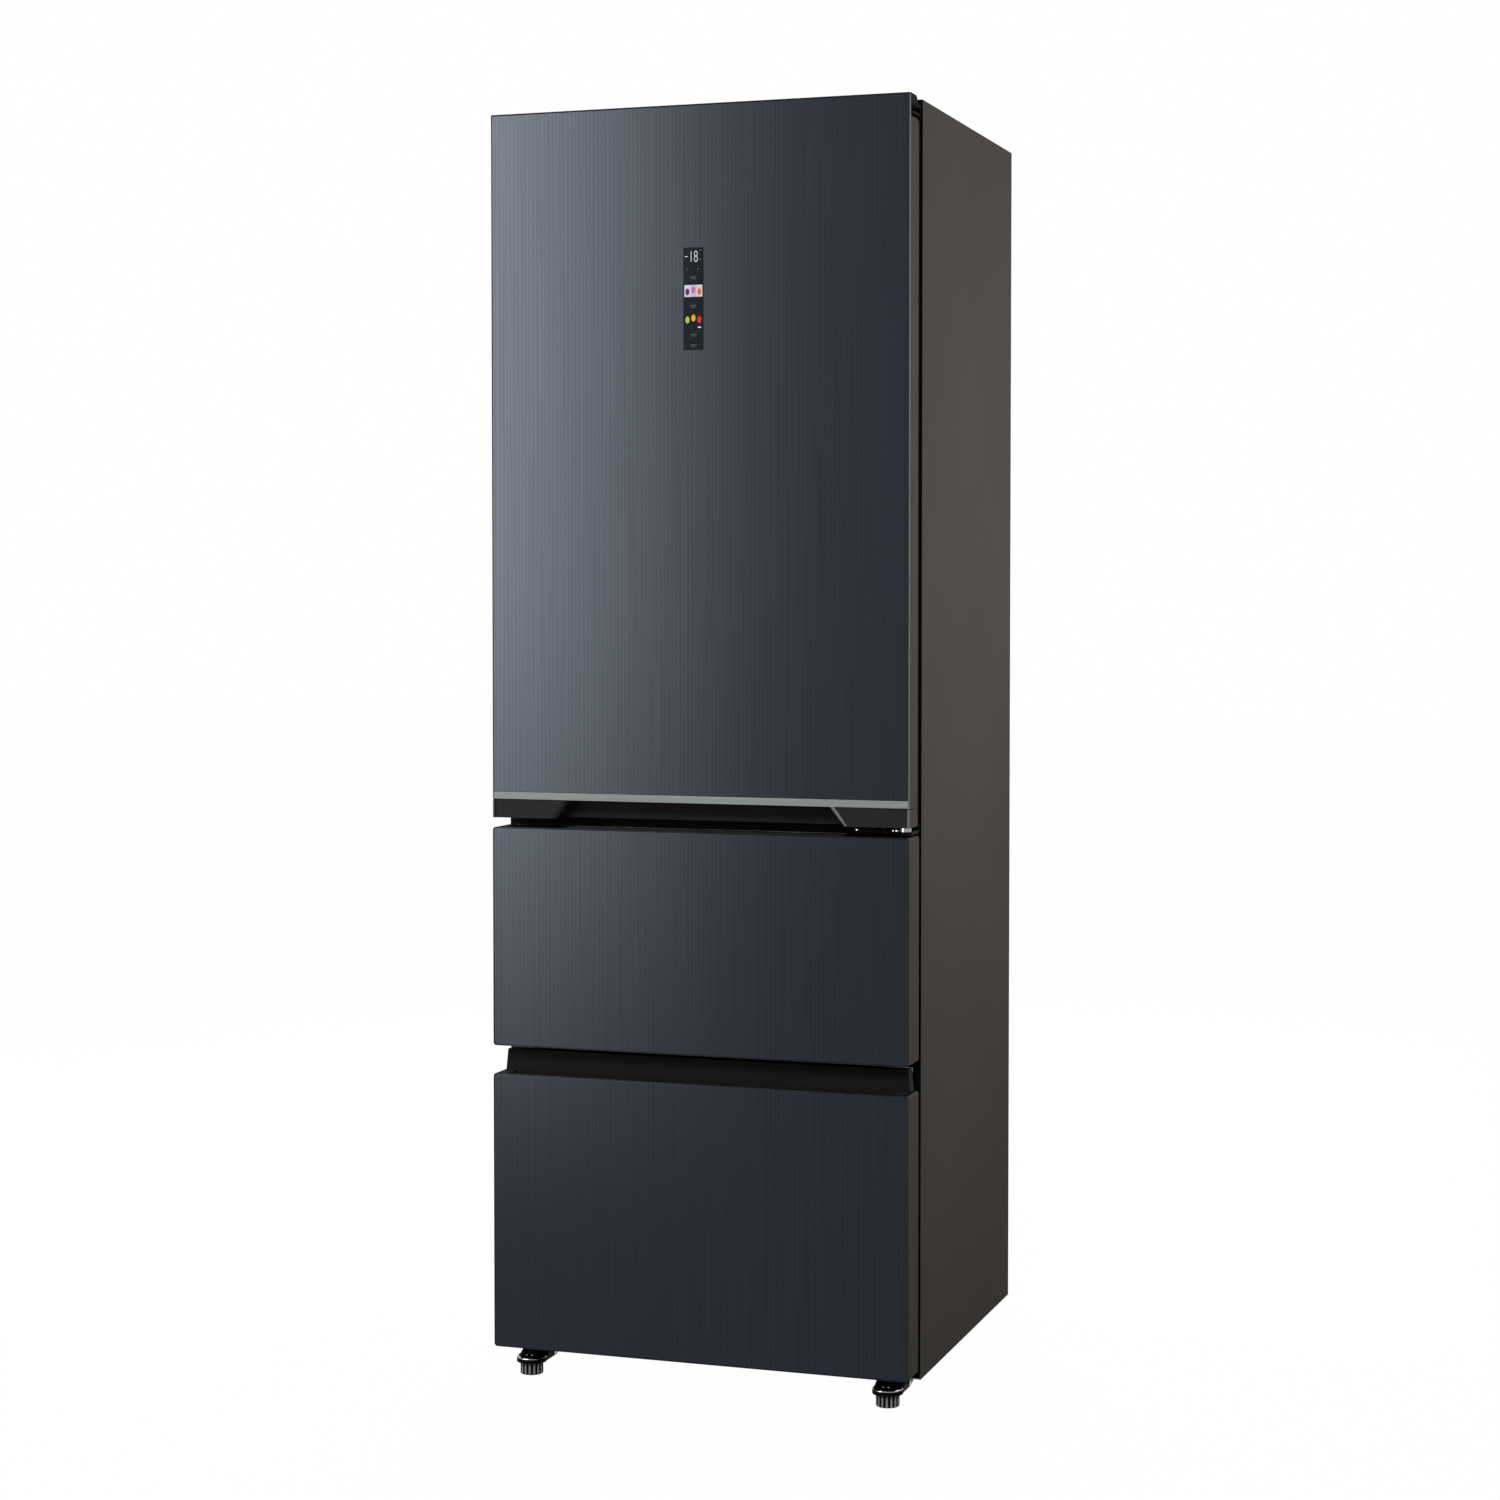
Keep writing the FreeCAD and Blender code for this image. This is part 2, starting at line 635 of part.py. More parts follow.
def build_cooling():
    front, back = "evaporator_front", "liner_back - evaporator_gap"
    low, high = "step_floor", "lower_ceiling - evaporator_gap"
    left, right = "-evaporator_left", "evaporator_right"
    fins = []
    for at in range(FIN_COUNT):
        place = "%s + (%s - (%s) - evaporator_fin) * %d / %d" % (left, right, left, at, FIN_COUNT - 1)
        fins.append(box("evaporator_fin_%d" % at, (place, place + " + evaporator_fin"),
                        (front, back), (low, high)))
    for at in range(TUBE_ROWS):
        level = "%s + (%s - %s) * (%d + 0.5) / %d" % (low, high, low, at, TUBE_ROWS)
        fins.append(cylinder("evaporator_tube_%d" % at, "x",
                             (left, "(%s + %s) / 2" % (front, back), level),
                             "evaporator_tube_radius", "%s - (%s)" % (right, left)))
    keep(join("evaporator", fins))

    plate = box("cooler_plate", ("-inner_half", "inner_half"),
                ("cooler_cover", "cooler_cover + liner_wall"), ("step_floor", "lower_ceiling"))
    mouth = cylinder("cooler_mouth", "y", ("fan_offset", "cooler_cover", "fan_level"),
                     "fan_radius + fan_opening_gap", "liner_wall")
    keep(cut("evaporator_cover", plate, [mouth]))

    can = cylinder("motor_can", "y", ("fan_offset", "liner_back - motor_length", "fan_level"),
                   "motor_radius", "motor_length")
    shaft = cylinder("motor_shaft", "y",
                     ("fan_offset", "liner_back - motor_length - shaft_length", "fan_level"),
                     "shaft_radius", "shaft_length")
    keep(join("fan_motor", [can, shaft]))

    hub_start = "fan_y - fan_hub_length / 2"
    pieces = [cylinder("fan_hub", "y", ("fan_offset", hub_start, "fan_level"),
                       "fan_hub_radius", "fan_hub_length")]
    centre = FreeCAD.Vector(value_of("fan_offset"), value_of("fan_y"), value_of("fan_level"))
    for at in range(BLADE_COUNT):
        blade = doc.addObject("Part::Box", "fan_blade_%d" % at)
        bind(blade, Length="fan_radius - fan_hub_radius / 2", Width="fan_blade_chord",
             Height="fan_blade_thickness")
        local = FreeCAD.Vector(value_of("fan_hub_radius") / 2, -value_of("fan_blade_chord") / 2,
                               -value_of("fan_blade_thickness") / 2)
        pitch = FreeCAD.Rotation(FreeCAD.Vector(1, 0, 0), 90 - BLADE_PITCH_DEG)
        turn = FreeCAD.Rotation(FreeCAD.Vector(0, 1, 0), 360 * at / BLADE_COUNT)
        whole = turn.multiply(pitch)
        blade.Placement = FreeCAD.Placement(centre + whole.multVec(local), whole)
        pieces.append(blade)
    bore = cylinder("fan_bore", "y", ("fan_offset", hub_start, "fan_level"),
                    "shaft_radius + running_clearance", "fan_hub_length")
    keep(cut("evaporator_fan", join("fan_form", pieces), [bore]))

    shell = doc.addObject("PartDesign::Body", "compressor_shell")
    sketch = shell.newObject("Sketcher::SketchObject", "compressor_circle")
    planes = [part for part in shell.Origin.OriginFeatures if part.Role == "XY_Plane"]
    sketch.AttachmentSupport = [(planes[0], "")]
    sketch.MapMode = "FlatFace"
    circle = Part.Circle(FreeCAD.Vector(), FreeCAD.Vector(0, 0, 1), value_of("compressor_radius"))
    sketch.addGeometry(circle, False)
    sketch.addConstraint(Sketcher.Constraint("Coincident", 0, 3, -1, 1))
    index = sketch.addConstraint(Sketcher.Constraint("Radius", 0, value_of("compressor_radius")))
    sketch.setExpression("Constraints[%d]" % index, bound("compressor_radius"))
    feature = shell.newObject("PartDesign::Pad", "compressor_height_pad")
    feature.Profile = sketch
    feature.setExpression("Length", bound("compressor_height"))
    bind(shell, place_x="compressor_offset", place_y="compressor_y",
         place_z="compressor_base + compressor_foot")
    doc.recompute()
    fillet(shell, "compressor_rounding", lambda middle, along: abs(along.z) < 1 - PARALLEL_RATIO)
    foot_x = ("compressor_offset - compressor_foot_length / 2",
              "compressor_offset + compressor_foot_length / 2")
    foot_y = ("compressor_y - compressor_foot_width / 2", "compressor_y + compressor_foot_width / 2")
    foot = box("compressor_foot_plate", foot_x, foot_y,
               ("compressor_base", "compressor_base + compressor_foot"))
    keep(join("compressor", [shell, foot]))

    grommets = []
    for at, (x, y) in enumerate([(x, y) for x in (-1, 1) for y in (-1, 1)]):
        place_x = "compressor_offset + %d * (compressor_foot_length / 2 - grommet_inset)" % x
        place_y = "compressor_y + %d * (compressor_foot_width / 2 - grommet_inset)" % y
        grommets.append(cylinder("grommet_%d" % at, "z", (place_x, place_y, "base_height + bay_plate"),
                                 "grommet_radius", "grommet_height"))
    keep(group("compressor_grommets", grommets))

    tray_x = ("compressor_offset - tray_length / 2", "compressor_offset + tray_length / 2")
    tray_y = ("compressor_y - tray_width / 2", "compressor_y + tray_width / 2")
    tray = box("tray_block", tray_x, tray_y, ("compressor_top", "compressor_top + tray_height"))
    pool = box("tray_pool", (tray_x[0] + " + tray_wall", tray_x[1] + " - tray_wall"),
               (tray_y[0] + " + tray_wall", tray_y[1] + " - tray_wall"),
               ("compressor_top + tray_wall", "compressor_top + tray_height"))
    keep(cut("drip_tray", tray, [pool]))

    plate_top = "base_height + bay_plate"
    keep(box("control_box", ("-skin_half + control_gap", "-skin_half + control_gap + control_length"),
             ("machine_front", "machine_front + control_depth"),
             (plate_top, plate_top + " + control_height")))

    cover = box("machine_cover_plate", ("-skin_half", "skin_half"),
                ("cabinet_back - cover_sheet", "cabinet_back"), (plate_top, "machine_top"))
    vents = []
    for at in range(VENT_COUNT):
        level = "%s + vent_bottom + vent_pitch * %d" % (plate_top, at)
        vents.append(box("vent_%d" % at, ("-vent_half_width", "vent_half_width"),
                         ("cabinet_back - cover_sheet", "cabinet_back"), (level, level + " + vent_height")))
    gland_start = ("-gland_offset", "cabinet_back - gland_length", "%s + gland_level" % plate_top)
    collar = cylinder("gland_collar", "y", gland_start, "gland_radius", "gland_length")
    vents.append(cylinder("gland_bore", "y", gland_start, "gland_bore", "gland_length"))
    keep(cut("machine_cover", join("machine_cover_form", [cover, collar]), vents))


# Hinges


def screw_row(name, x, z, count):
    """Row of pan-head screws through a hinge plate into the cabinet front, and holes for them."""
    screws, holes = [], []
    for at in range(count):
        place = "%s - %d * screw_pitch" % (x, at)
        plate_face = "cabinet_front - hinge_plate"
        head = cylinder("%s_head_%d" % (name, at), "y", (place, plate_face + " - screw_head", z),
                        "screw_head_radius", "screw_head")
        shank = cylinder("%s_shank_%d" % (name, at), "y", (place, plate_face, z),
                         "screw_radius", "screw_length")
        hole = cylinder("%s_hole_%d" % (name, at), "y", (place, plate_face, z),
                        "screw_radius + running_clearance", "screw_length")
        screws.append(join("%s_%d" % (name, at), [head, shank]))
        holes.append(hole)
    return screws, holes


def build_hinges():
    """Both fixed hinge leaves, their screws and the holes those need in the cabinet front."""
    pivot = ("pivot_x", "pivot_y")
    top_screws, top_holes = screw_row("top_screw", "pivot_x - top_screw_inset",
                                      "(top_arm_top + height - top_plate_margin) / 2", TOP_SCREWS)
    middle_screws, middle_holes = screw_row("middle_screw", "pivot_x - middle_screw_inset",
                                            "(middle_arm_top + door_bottom + seal_margin) / 2",
                                            MIDDLE_SCREWS)

    arm_x = ("pivot_x - arm_half_width", "pivot_x + arm_half_width")
    arm = box("top_arm", arm_x, ("pivot_y", "cabinet_front"), ("top_arm_bottom", "top_arm_top"))
    eye = cylinder("top_eye", "z", pivot + ("top_arm_bottom",), "arm_half_width", "arm_thickness")
    pin_bottom = "notch_bottom - bush_length + pin_end_gap"
    pin = cylinder("top_pin", "z", pivot + (pin_bottom,), "pin_radius",
                   "top_arm_bottom - (%s)" % pin_bottom)
    plate = box("top_plate", ("pivot_x - top_plate_reach", "pivot_x + arm_half_width"),
                ("cabinet_front - hinge_plate", "cabinet_front"),
                ("fridge_ceiling + seal_reach", "height - top_plate_margin"))
    keep(cut("top_hinge", join("top_hinge_form", [arm, eye, pin, plate]), top_holes))

    shoulder = "cabinet_front - middle_arm_shoulder"
    blade = pad("middle_arm", "XY_Plane", [
        ("pivot_x - middle_arm_reach", "cabinet_front"),
        ("pivot_x - middle_arm_reach", shoulder),
        ("pivot_x - arm_half_width", "pivot_y"),
        ("pivot_x + arm_half_width", "pivot_y"),
        ("pivot_x + arm_half_width", "cabinet_front"),
    ], "arm_thickness", "middle_arm_bottom")
    eye = cylinder("middle_eye", "z", pivot + ("middle_arm_bottom",), "arm_half_width", "arm_thickness")
    collar = cylinder("middle_collar", "z", pivot + ("middle_arm_top",), "collar_radius",
                      "door_bottom - collar_gap - middle_arm_top")
    pin = cylinder("middle_pin", "z", pivot + ("middle_arm_top",), "pin_radius",
                   "door_bottom + bush_length - pin_end_gap - middle_arm_top")
    plate = box("middle_plate", ("pivot_x - middle_arm_reach", "pivot_x + arm_half_width"),
                ("cabinet_front - hinge_plate", "cabinet_front"),
                ("middle_arm_bottom", "door_bottom + seal_margin - seal_land"))
    form = join("middle_hinge_form", [blade, eye, collar, pin, plate])
    keep(cut("middle_hinge", form, middle_holes))
    keep(group("hinge_screws", top_screws + middle_screws))
    return top_holes + middle_holes


def build_bushes():
    """Plastic bushes in the door that turn on the hinge pins."""
    bushes = []
    for name, start in (("top", "notch_bottom - bush_length"), ("bottom", "door_bottom")):
        sleeve = cylinder(name + "_sleeve", "z", ("pivot_x", "pivot_y", start), "bush_radius", "bush_length")
        bore = cylinder(name + "_bore", "z", ("pivot_x", "pivot_y", start),
                        "pin_radius + running_clearance", "bush_length")
        bushes.append(cut(name + "_bush", sleeve, [bore]))
    keep(group("door_hinge_bushes", bushes))


# Fridge door


def round_rear_top(body, radius, top):
    """Round the edge where the top of a door piece meets its back."""
    rear, peak = value_of("door_back"), value_of(top)
    fillet(body, radius,
           lambda middle, along: abs(middle.y - rear) < SAME_PLACE and abs(middle.z - peak) < SAME_PLACE)


def build_door():
    keep(box("door_glass", ("-glass_half", "glass_half"), ("front_y + glass_inset", "glass_back"),
             ("trim_top", "height - edge_lip")))
    keep(box("door_trim_strip", ("-glass_half", "glass_half"), ("front_y", "glass_back"),
             ("trim_bottom", "trim_top")))

    profiles = []
    for side, top in (("left", "cap_bottom"), ("right", "notch_bottom")):
        upright = pad("door_profile_%s_upright" % side, "YZ_Plane", [
            ("front_y", "door_bottom"), ("door_back", "door_bottom"),
            ("door_back", top), ("front_y", top),
        ], "profile_wall", "-half_width" if side == "left" else "profile_inner")
        if side == "right":
            round_rear_top(upright, "profile_radius", "notch_bottom")
        x = ("-glass_half", "-profile_inner") if side == "left" else ("profile_inner", "glass_half")
        rebate = box("door_rebate_" + side, x, ("front_y", "glass_back"), ("trim_bottom", "height"))
        profiles.append(cut("door_profile_" + side, upright, [rebate]))
    keep(group("door_side_profiles", profiles))

    inside = ("-profile_inner", "profile_inner")
    lid = pad("cap_lid", "YZ_Plane", [
        ("glass_back", "cap_bottom"), ("door_back", "cap_bottom"),
        ("door_back", "height"), ("glass_back", "height"),
    ], "width", "-half_width")
    round_rear_top(lid, "cap_radius", "height")
    brow = box("cap_brow", ("-half_width", "half_width"), ("front_y", "glass_back"),
               ("height - edge_lip", "height"))
    block = box("cap_block", inside, ("glass_back", "door_back"), ("cap_block_bottom", "cap_bottom"))
    notch = box("cap_notch", ("pivot_x - notch_reach", "half_width"),
                ("pivot_y - notch_front", "door_back"), ("notch_bottom", "cap_bottom"))
    bush_hole = "bush_radius + running_clearance"
    seat = cylinder("cap_bush_seat", "z", ("pivot_x", "pivot_y", "notch_bottom - bush_length"),
                    bush_hole, "bush_length")
    corners = []
    for side, x in (("left", ("-half_width", "-glass_half")), ("right", ("glass_half", "half_width"))):
        top = "cap_bottom" if side == "left" else "notch_bottom"
        corners.append(box("cap_corner_" + side, x, ("front_y", "glass_back"), (top, "height - edge_lip")))
    cap = join("door_cap_form", [lid, brow, block] + corners)
    keep(cut("door_top_cap", cap, [notch, seat]))

    body = box("handle_block", inside, ("glass_back", "door_back"), ("door_bottom", "handle_block_top"))
    face = box("handle_face", inside, ("front_y + cheek_setback", "glass_back"),
               ("door_bottom", "trim_bottom"))
    recess = pad("handle_recess", "XZ_Plane", [
        ("-recess_bottom_half", "door_bottom"), ("recess_bottom_half", "door_bottom"),
        ("recess_top_half", "trim_bottom"), ("-recess_top_half", "trim_bottom"),
    ], "recess_depth", "front_y + cheek_setback")
    channel = box("handle_channel", ("-channel_half", "channel_half"),
                  ("front_y + channel_setback", "front_y + cheek_setback + recess_depth"),
                  ("trim_bottom", "trim_bottom + channel_height"))
    seat = cylinder("handle_bush_seat", "z", ("pivot_x", "pivot_y", "door_bottom"), bush_hole,
                    "bush_length")
    keep(cut("door_handle_cap", join("handle_form", [body, face]), [recess, channel, seat]))

    board = box("display_board", ("-display_board_width / 2", "display_board_width / 2"),
                ("glass_back", "glass_back + display_board_depth"),
                ("display_centre - display_height / 2 - display_board_margin",
                 "display_centre + display_height / 2 + display_board_margin"))
    keep(board)
    foam = box("door_foam_block", inside, ("glass_back", "panel_front"),
               ("handle_block_top", "cap_block_bottom"))
    keep(cut("door_foam", foam, [board]))

    sheet_back = box("door_liner_sheet", inside, ("panel_front", "door_back"),
                     ("handle_block_top", "cap_block_bottom"))
    dyke = ring("door_dyke", "dyke_half - dyke_rib", ("door_back", "door_back + dyke_depth"),
                ("dyke_bottom + dyke_rib", "dyke_top - dyke_rib"), "dyke_rib")
    lugs, bins = [], []
    bin_room = value_of("dyke_top - dyke_rib - bin_height - bin_level")
    for level in range(1 + int(bin_room // value_of("bin_spacing"))):
        floor = "bin_level + %d * bin_spacing" % level
        for side, x in (("left", ("-dyke_half + dyke_rib", "-dyke_half + dyke_rib + bin_lug")),
                        ("right", ("dyke_half - dyke_rib - bin_lug", "dyke_half - dyke_rib"))):
            lugs.append(box("bin_lug_%s_%d" % (side, level), x,
                            ("door_back", "door_back + bin_lug_depth"), (floor + " - bin_lug", floor)))
        tub = box("bin_tub_%d" % level, ("-bin_half", "bin_half"), ("door_back", "door_back + bin_depth"),
                  (floor, floor + " + bin_height"))
        hollow = box("bin_hollow_%d" % level, ("-bin_half + bin_wall", "bin_half - bin_wall"),
                     ("door_back + bin_wall", "door_back + bin_depth - bin_wall"),
                     (floor + " + bin_wall", floor + " + bin_height"))
        bins.append(cut("door_bin_%d" % level, tub, [hollow]))
    keep(group("door_bins", bins))
    keep(join("door_inner_liner", [sheet_back, dyke] + lugs))

    keep(ring("door_gasket", "inner_half + seal_land", ("door_back", "cabinet_front - seal_clearance"),
              ("fridge_floor - seal_land", "fridge_ceiling + seal_land"), "gasket_width"))


# Drawers


def build_drawer_front(name, z, inner_z, top_cuts, foam_top):
    """Glass, moulded surround, foam and inner panel of one drawer front."""
    low, high = z
    glass = panel(name + "_glass", "glass_half", ("front_y + glass_inset", "glass_back"),
                  (low + " + edge_lip", high + " - edge_lip"), "corner_radius")
    keep(glass)
    slab = panel(name + "_slab", "half_width", ("front_y", "panel_front"), z, "corner_radius + edge_lip")
    pocket = panel(name + "_glass_pocket", "glass_half", ("front_y", "glass_back"),
                   (low + " + edge_lip", high + " - edge_lip"), "corner_radius")
    inside = ("-half_width + front_wall", "half_width - front_wall")
    foam_z = (low + " + front_wall", foam_top)
    hollow = box(name + "_hollow", inside, ("glass_back", "panel_front"), foam_z)
    keep(cut(name + "_front_frame", slab, [pocket, hollow] + top_cuts))
    keep(box(name + "_front_foam", inside, ("glass_back", "panel_front"), foam_z))
    edge = "half_width - grip_side_inset - grip_slant"
    keep(box(name + "_inner_panel", ("-(%s)" % edge, edge), ("panel_front", "door_back"), inner_z))


def channel_rail(name, outer, inner, low, high, y):
    """C-shaped rail, open towards the middle of the cabinet."""
    return pad(name, "XZ_Plane", [
        (outer, low), (outer, high), (inner, high), (inner, high + " - rail_wall"),
        (outer + " - rail_wall", high + " - rail_wall"), (outer + " - rail_wall", low + " + rail_wall"),
        (inner, low + " + rail_wall"), (inner, low),
    ], "(%s) - (%s)" % (y[1], y[0]), y[0])


def build_rails(name, level, back):
    """Telescopic rails of one drawer: the fixed pair is returned, the others are kept."""
    span = ("rail_front", back)
    lip = "bar_inner + rail_clearance"
    fixed = channel_rail(name + "_fixed_right", "inner_half", lip, level, level + " + rail_height", span)
    slide = channel_rail(name + "_slide_right", "inner_half - rail_step", lip,
                         level + " + rail_step", level + " + rail_height - rail_step", span)
    keep(group(name + "_slide_rails", [slide, mirrored(name + "_slide_left", slide)]))
    bottom = level + " + 2 * rail_step"
    top = bottom + " + bar_height"
    bar = pad(name + "_bar_right", "XZ_Plane", [
        ("bar_outer", bottom), ("bar_outer", top), ("bar_inner - ledge_width", top),
        ("bar_inner - ledge_width", top + " - ledge_thickness"),
        ("bar_inner", top + " - ledge_thickness"), ("bar_inner", bottom),
    ], span[1] + " - (door_back)", "door_back")
    keep(group(name + "_moving_rails", [bar, mirrored(name + "_bar_left", bar)]))
    return [fixed, mirrored(name + "_fixed_left", fixed)]


def basket_block(name, half, y, z):
    """One box of a basket, between its walls or around them."""
    return box(name, ("-(%s)" % half, half), y, z)


def build_basket(name, floor, level, back, step=None):
    """Open basket that hangs by its rim on the moving rails; a step clears the machine bay."""
    rim_low = level + " + 2 * rail_step + bar_height"
    rim_high = rim_low + " + basket_rim"
    front = "cabinet_front + basket_setback"
    inner = "basket_half - basket_wall"
    first_back = back if step is None else step[0]
    outers = [basket_block(name + "_outer", "basket_half", (front, first_back), (floor, rim_high))]
    inners = [basket_block(name + "_inner", inner,
                           (front + " + basket_wall", first_back + " - basket_wall"),
                           (floor + " + basket_wall", rim_high))]
    if step is not None:
        outers.append(basket_block(name + "_over_outer", "basket_half", (front, back), (step[1], rim_high)))
        inners.append(basket_block(name + "_over_inner", inner,
                                   (front + " + basket_wall", back + " - basket_wall"),
                                   (step[1] + " + basket_wall", rim_high)))
    rim = basket_block(name + "_rim", "bar_inner - rail_clearance", (front, back), (rim_low, rim_high))
    keep(cut(name + "_basket", join(name + "_basket_form", outers + [rim]), inners))


def build_drawers():
    pull = box("middle_pull", ("-pull_half", "pull_half"),
               ("front_y + pull_front", "front_y + pull_front + pull_width"),
               ("middle_top - pull_depth", "middle_top"))
    build_drawer_front("middle", ("middle_bottom", "middle_top"), ("middle_bottom", "middle_top"), [pull],
                       "middle_top - pull_depth - pull_wall")

    groove_floor = "lower_front_top - grip_groove_depth"
    slot_floor = groove_floor + " - grip_wall"
    slot = box("lower_grip_slot", ("-half_width + grip_end_inset", "half_width - grip_end_inset"),
               ("front_y + grip_groove_front", "panel_front"), (slot_floor, "lower_front_top"))
    build_drawer_front("lower", ("lower_front_bottom", "lower_front_top"), ("lower_front_bottom", "grip_top"),
                       [slot], slot_floor + " - grip_wall")

    seat = box("grip_seat", ("-half_width + grip_end_inset", "half_width - grip_end_inset"),
               ("front_y + grip_groove_front", "panel_front"), (slot_floor, "lower_front_top"))
    low_edge = "half_width - grip_side_inset"
    high_edge = low_edge + " - grip_slant"
    wall = pad("grip_upstand", "XZ_Plane", [
        ("-(%s)" % low_edge, "lower_front_top"), (low_edge, "lower_front_top"),
        (high_edge, "grip_top"), ("-(%s)" % high_edge, "grip_top"),
    ], "door_thickness - inner_panel - grip_front", "front_y + grip_front")
    groove = box("grip_groove", ("-half_width + grip_end", "half_width - grip_end"),
                 ("front_y + grip_groove_front + grip_wall", "front_y + grip_front"),
                 (groove_floor, "lower_front_top"))
    keep(cut("lower_grip_profile", join("grip_form", [seat, wall]), [groove]))

    for name, low, high in (("middle", "middle_floor", "middle_ceiling"),
                            ("lower", "lower_floor", "lower_ceiling")):
        keep(ring(name + "_gasket", "inner_half + seal_land", ("door_back", "cabinet_front - seal_clearance"),
                  (low + " - seal_land", high + " + seal_land"), "gasket_width"))

    fixed = build_rails("middle", "middle_rail", "middle_rail_back")
    fixed += build_rails("lower", "lower_rail", "lower_rail_back")
    keep(group("drawer_fixed_rails", fixed))
    build_basket("middle", "middle_floor + basket_gap", "middle_rail", "liner_back - 2 * basket_gap")
    build_basket("lower", "lower_floor + basket_gap", "lower_rail", "cooler_cover - basket_gap",
                 ("step_back - basket_gap", "step_floor + basket_gap"))


# Feet and rollers


def build_foot(name, x):
    """Ribbed levelling foot on a threaded stem."""
    foot = doc.addObject("PartDesign::Body", name)
    profile = outline(foot, "XZ_Plane", [
        ("0", "0"), ("foot_radius - foot_chamfer", "0"), ("foot_radius", "foot_chamfer"),
        ("foot_radius", "foot_height"), ("stem_radius", "foot_height"), ("stem_radius", "stem_top"),
        ("0", "stem_top"),
    ])
    axes = {part.Role: part for part in foot.Origin.OriginFeatures}
    turned = foot.newObject("PartDesign::Revolution", name + "_turned")
    turned.Profile = profile
    turned.ReferenceAxis = (axes["Z_Axis"], [""])
    turned.Angle = 360
    doc.recompute()
    plain_volume = foot.Shape.Volume
    flute = foot.newObject("Sketcher::SketchObject", name + "_flute")
    flute.AttachmentSupport = [(axes["XY_Plane"], "")]
    flute.MapMode = "FlatFace"
    centre = FreeCAD.Vector(value_of("foot_radius"), 0, 0)
    flute.addGeometry(Part.Circle(centre, FreeCAD.Vector(0, 0, 1), value_of("foot_rib_radius")), False)
    flute.addConstraint(Sketcher.Constraint("PointOnObject", 0, 3, -1))
    index = flute.addConstraint(Sketcher.Constraint("DistanceX", -1, 1, 0, 3, centre.x))
    flute.setExpression("Constraints[%d]" % index, bound("foot_radius"))
    index = flute.addConstraint(Sketcher.Constraint("Radius", 0, value_of("foot_rib_radius")))
    flute.setExpression("Constraints[%d]" % index, bound("foot_rib_radius"))
    pocket = foot.newObject("PartDesign::Pocket", name + "_flute_cut")
    pocket.Profile = flute
    pocket.Reversed = True
    pocket.setExpression("Length", bound("foot_height - foot_chamfer"))
    doc.recompute()
    ribs = foot.newObject("PartDesign::PolarPattern", name + "_ribs")
    ribs.Originals = [pocket]
    ribs.Axis = (axes["Z_Axis"], [""])
    ribs.Angle = 360
    ribs.Occurrences = FOOT_RIBS
    foot.Tip = ribs
    bind(foot, place_x=x, place_y="foot_y")
    doc.recompute()
    if foot.Shape.Volume >= plain_volume:
        raise RuntimeError("the flutes of %s cut nothing" % name)
    keep(foot)


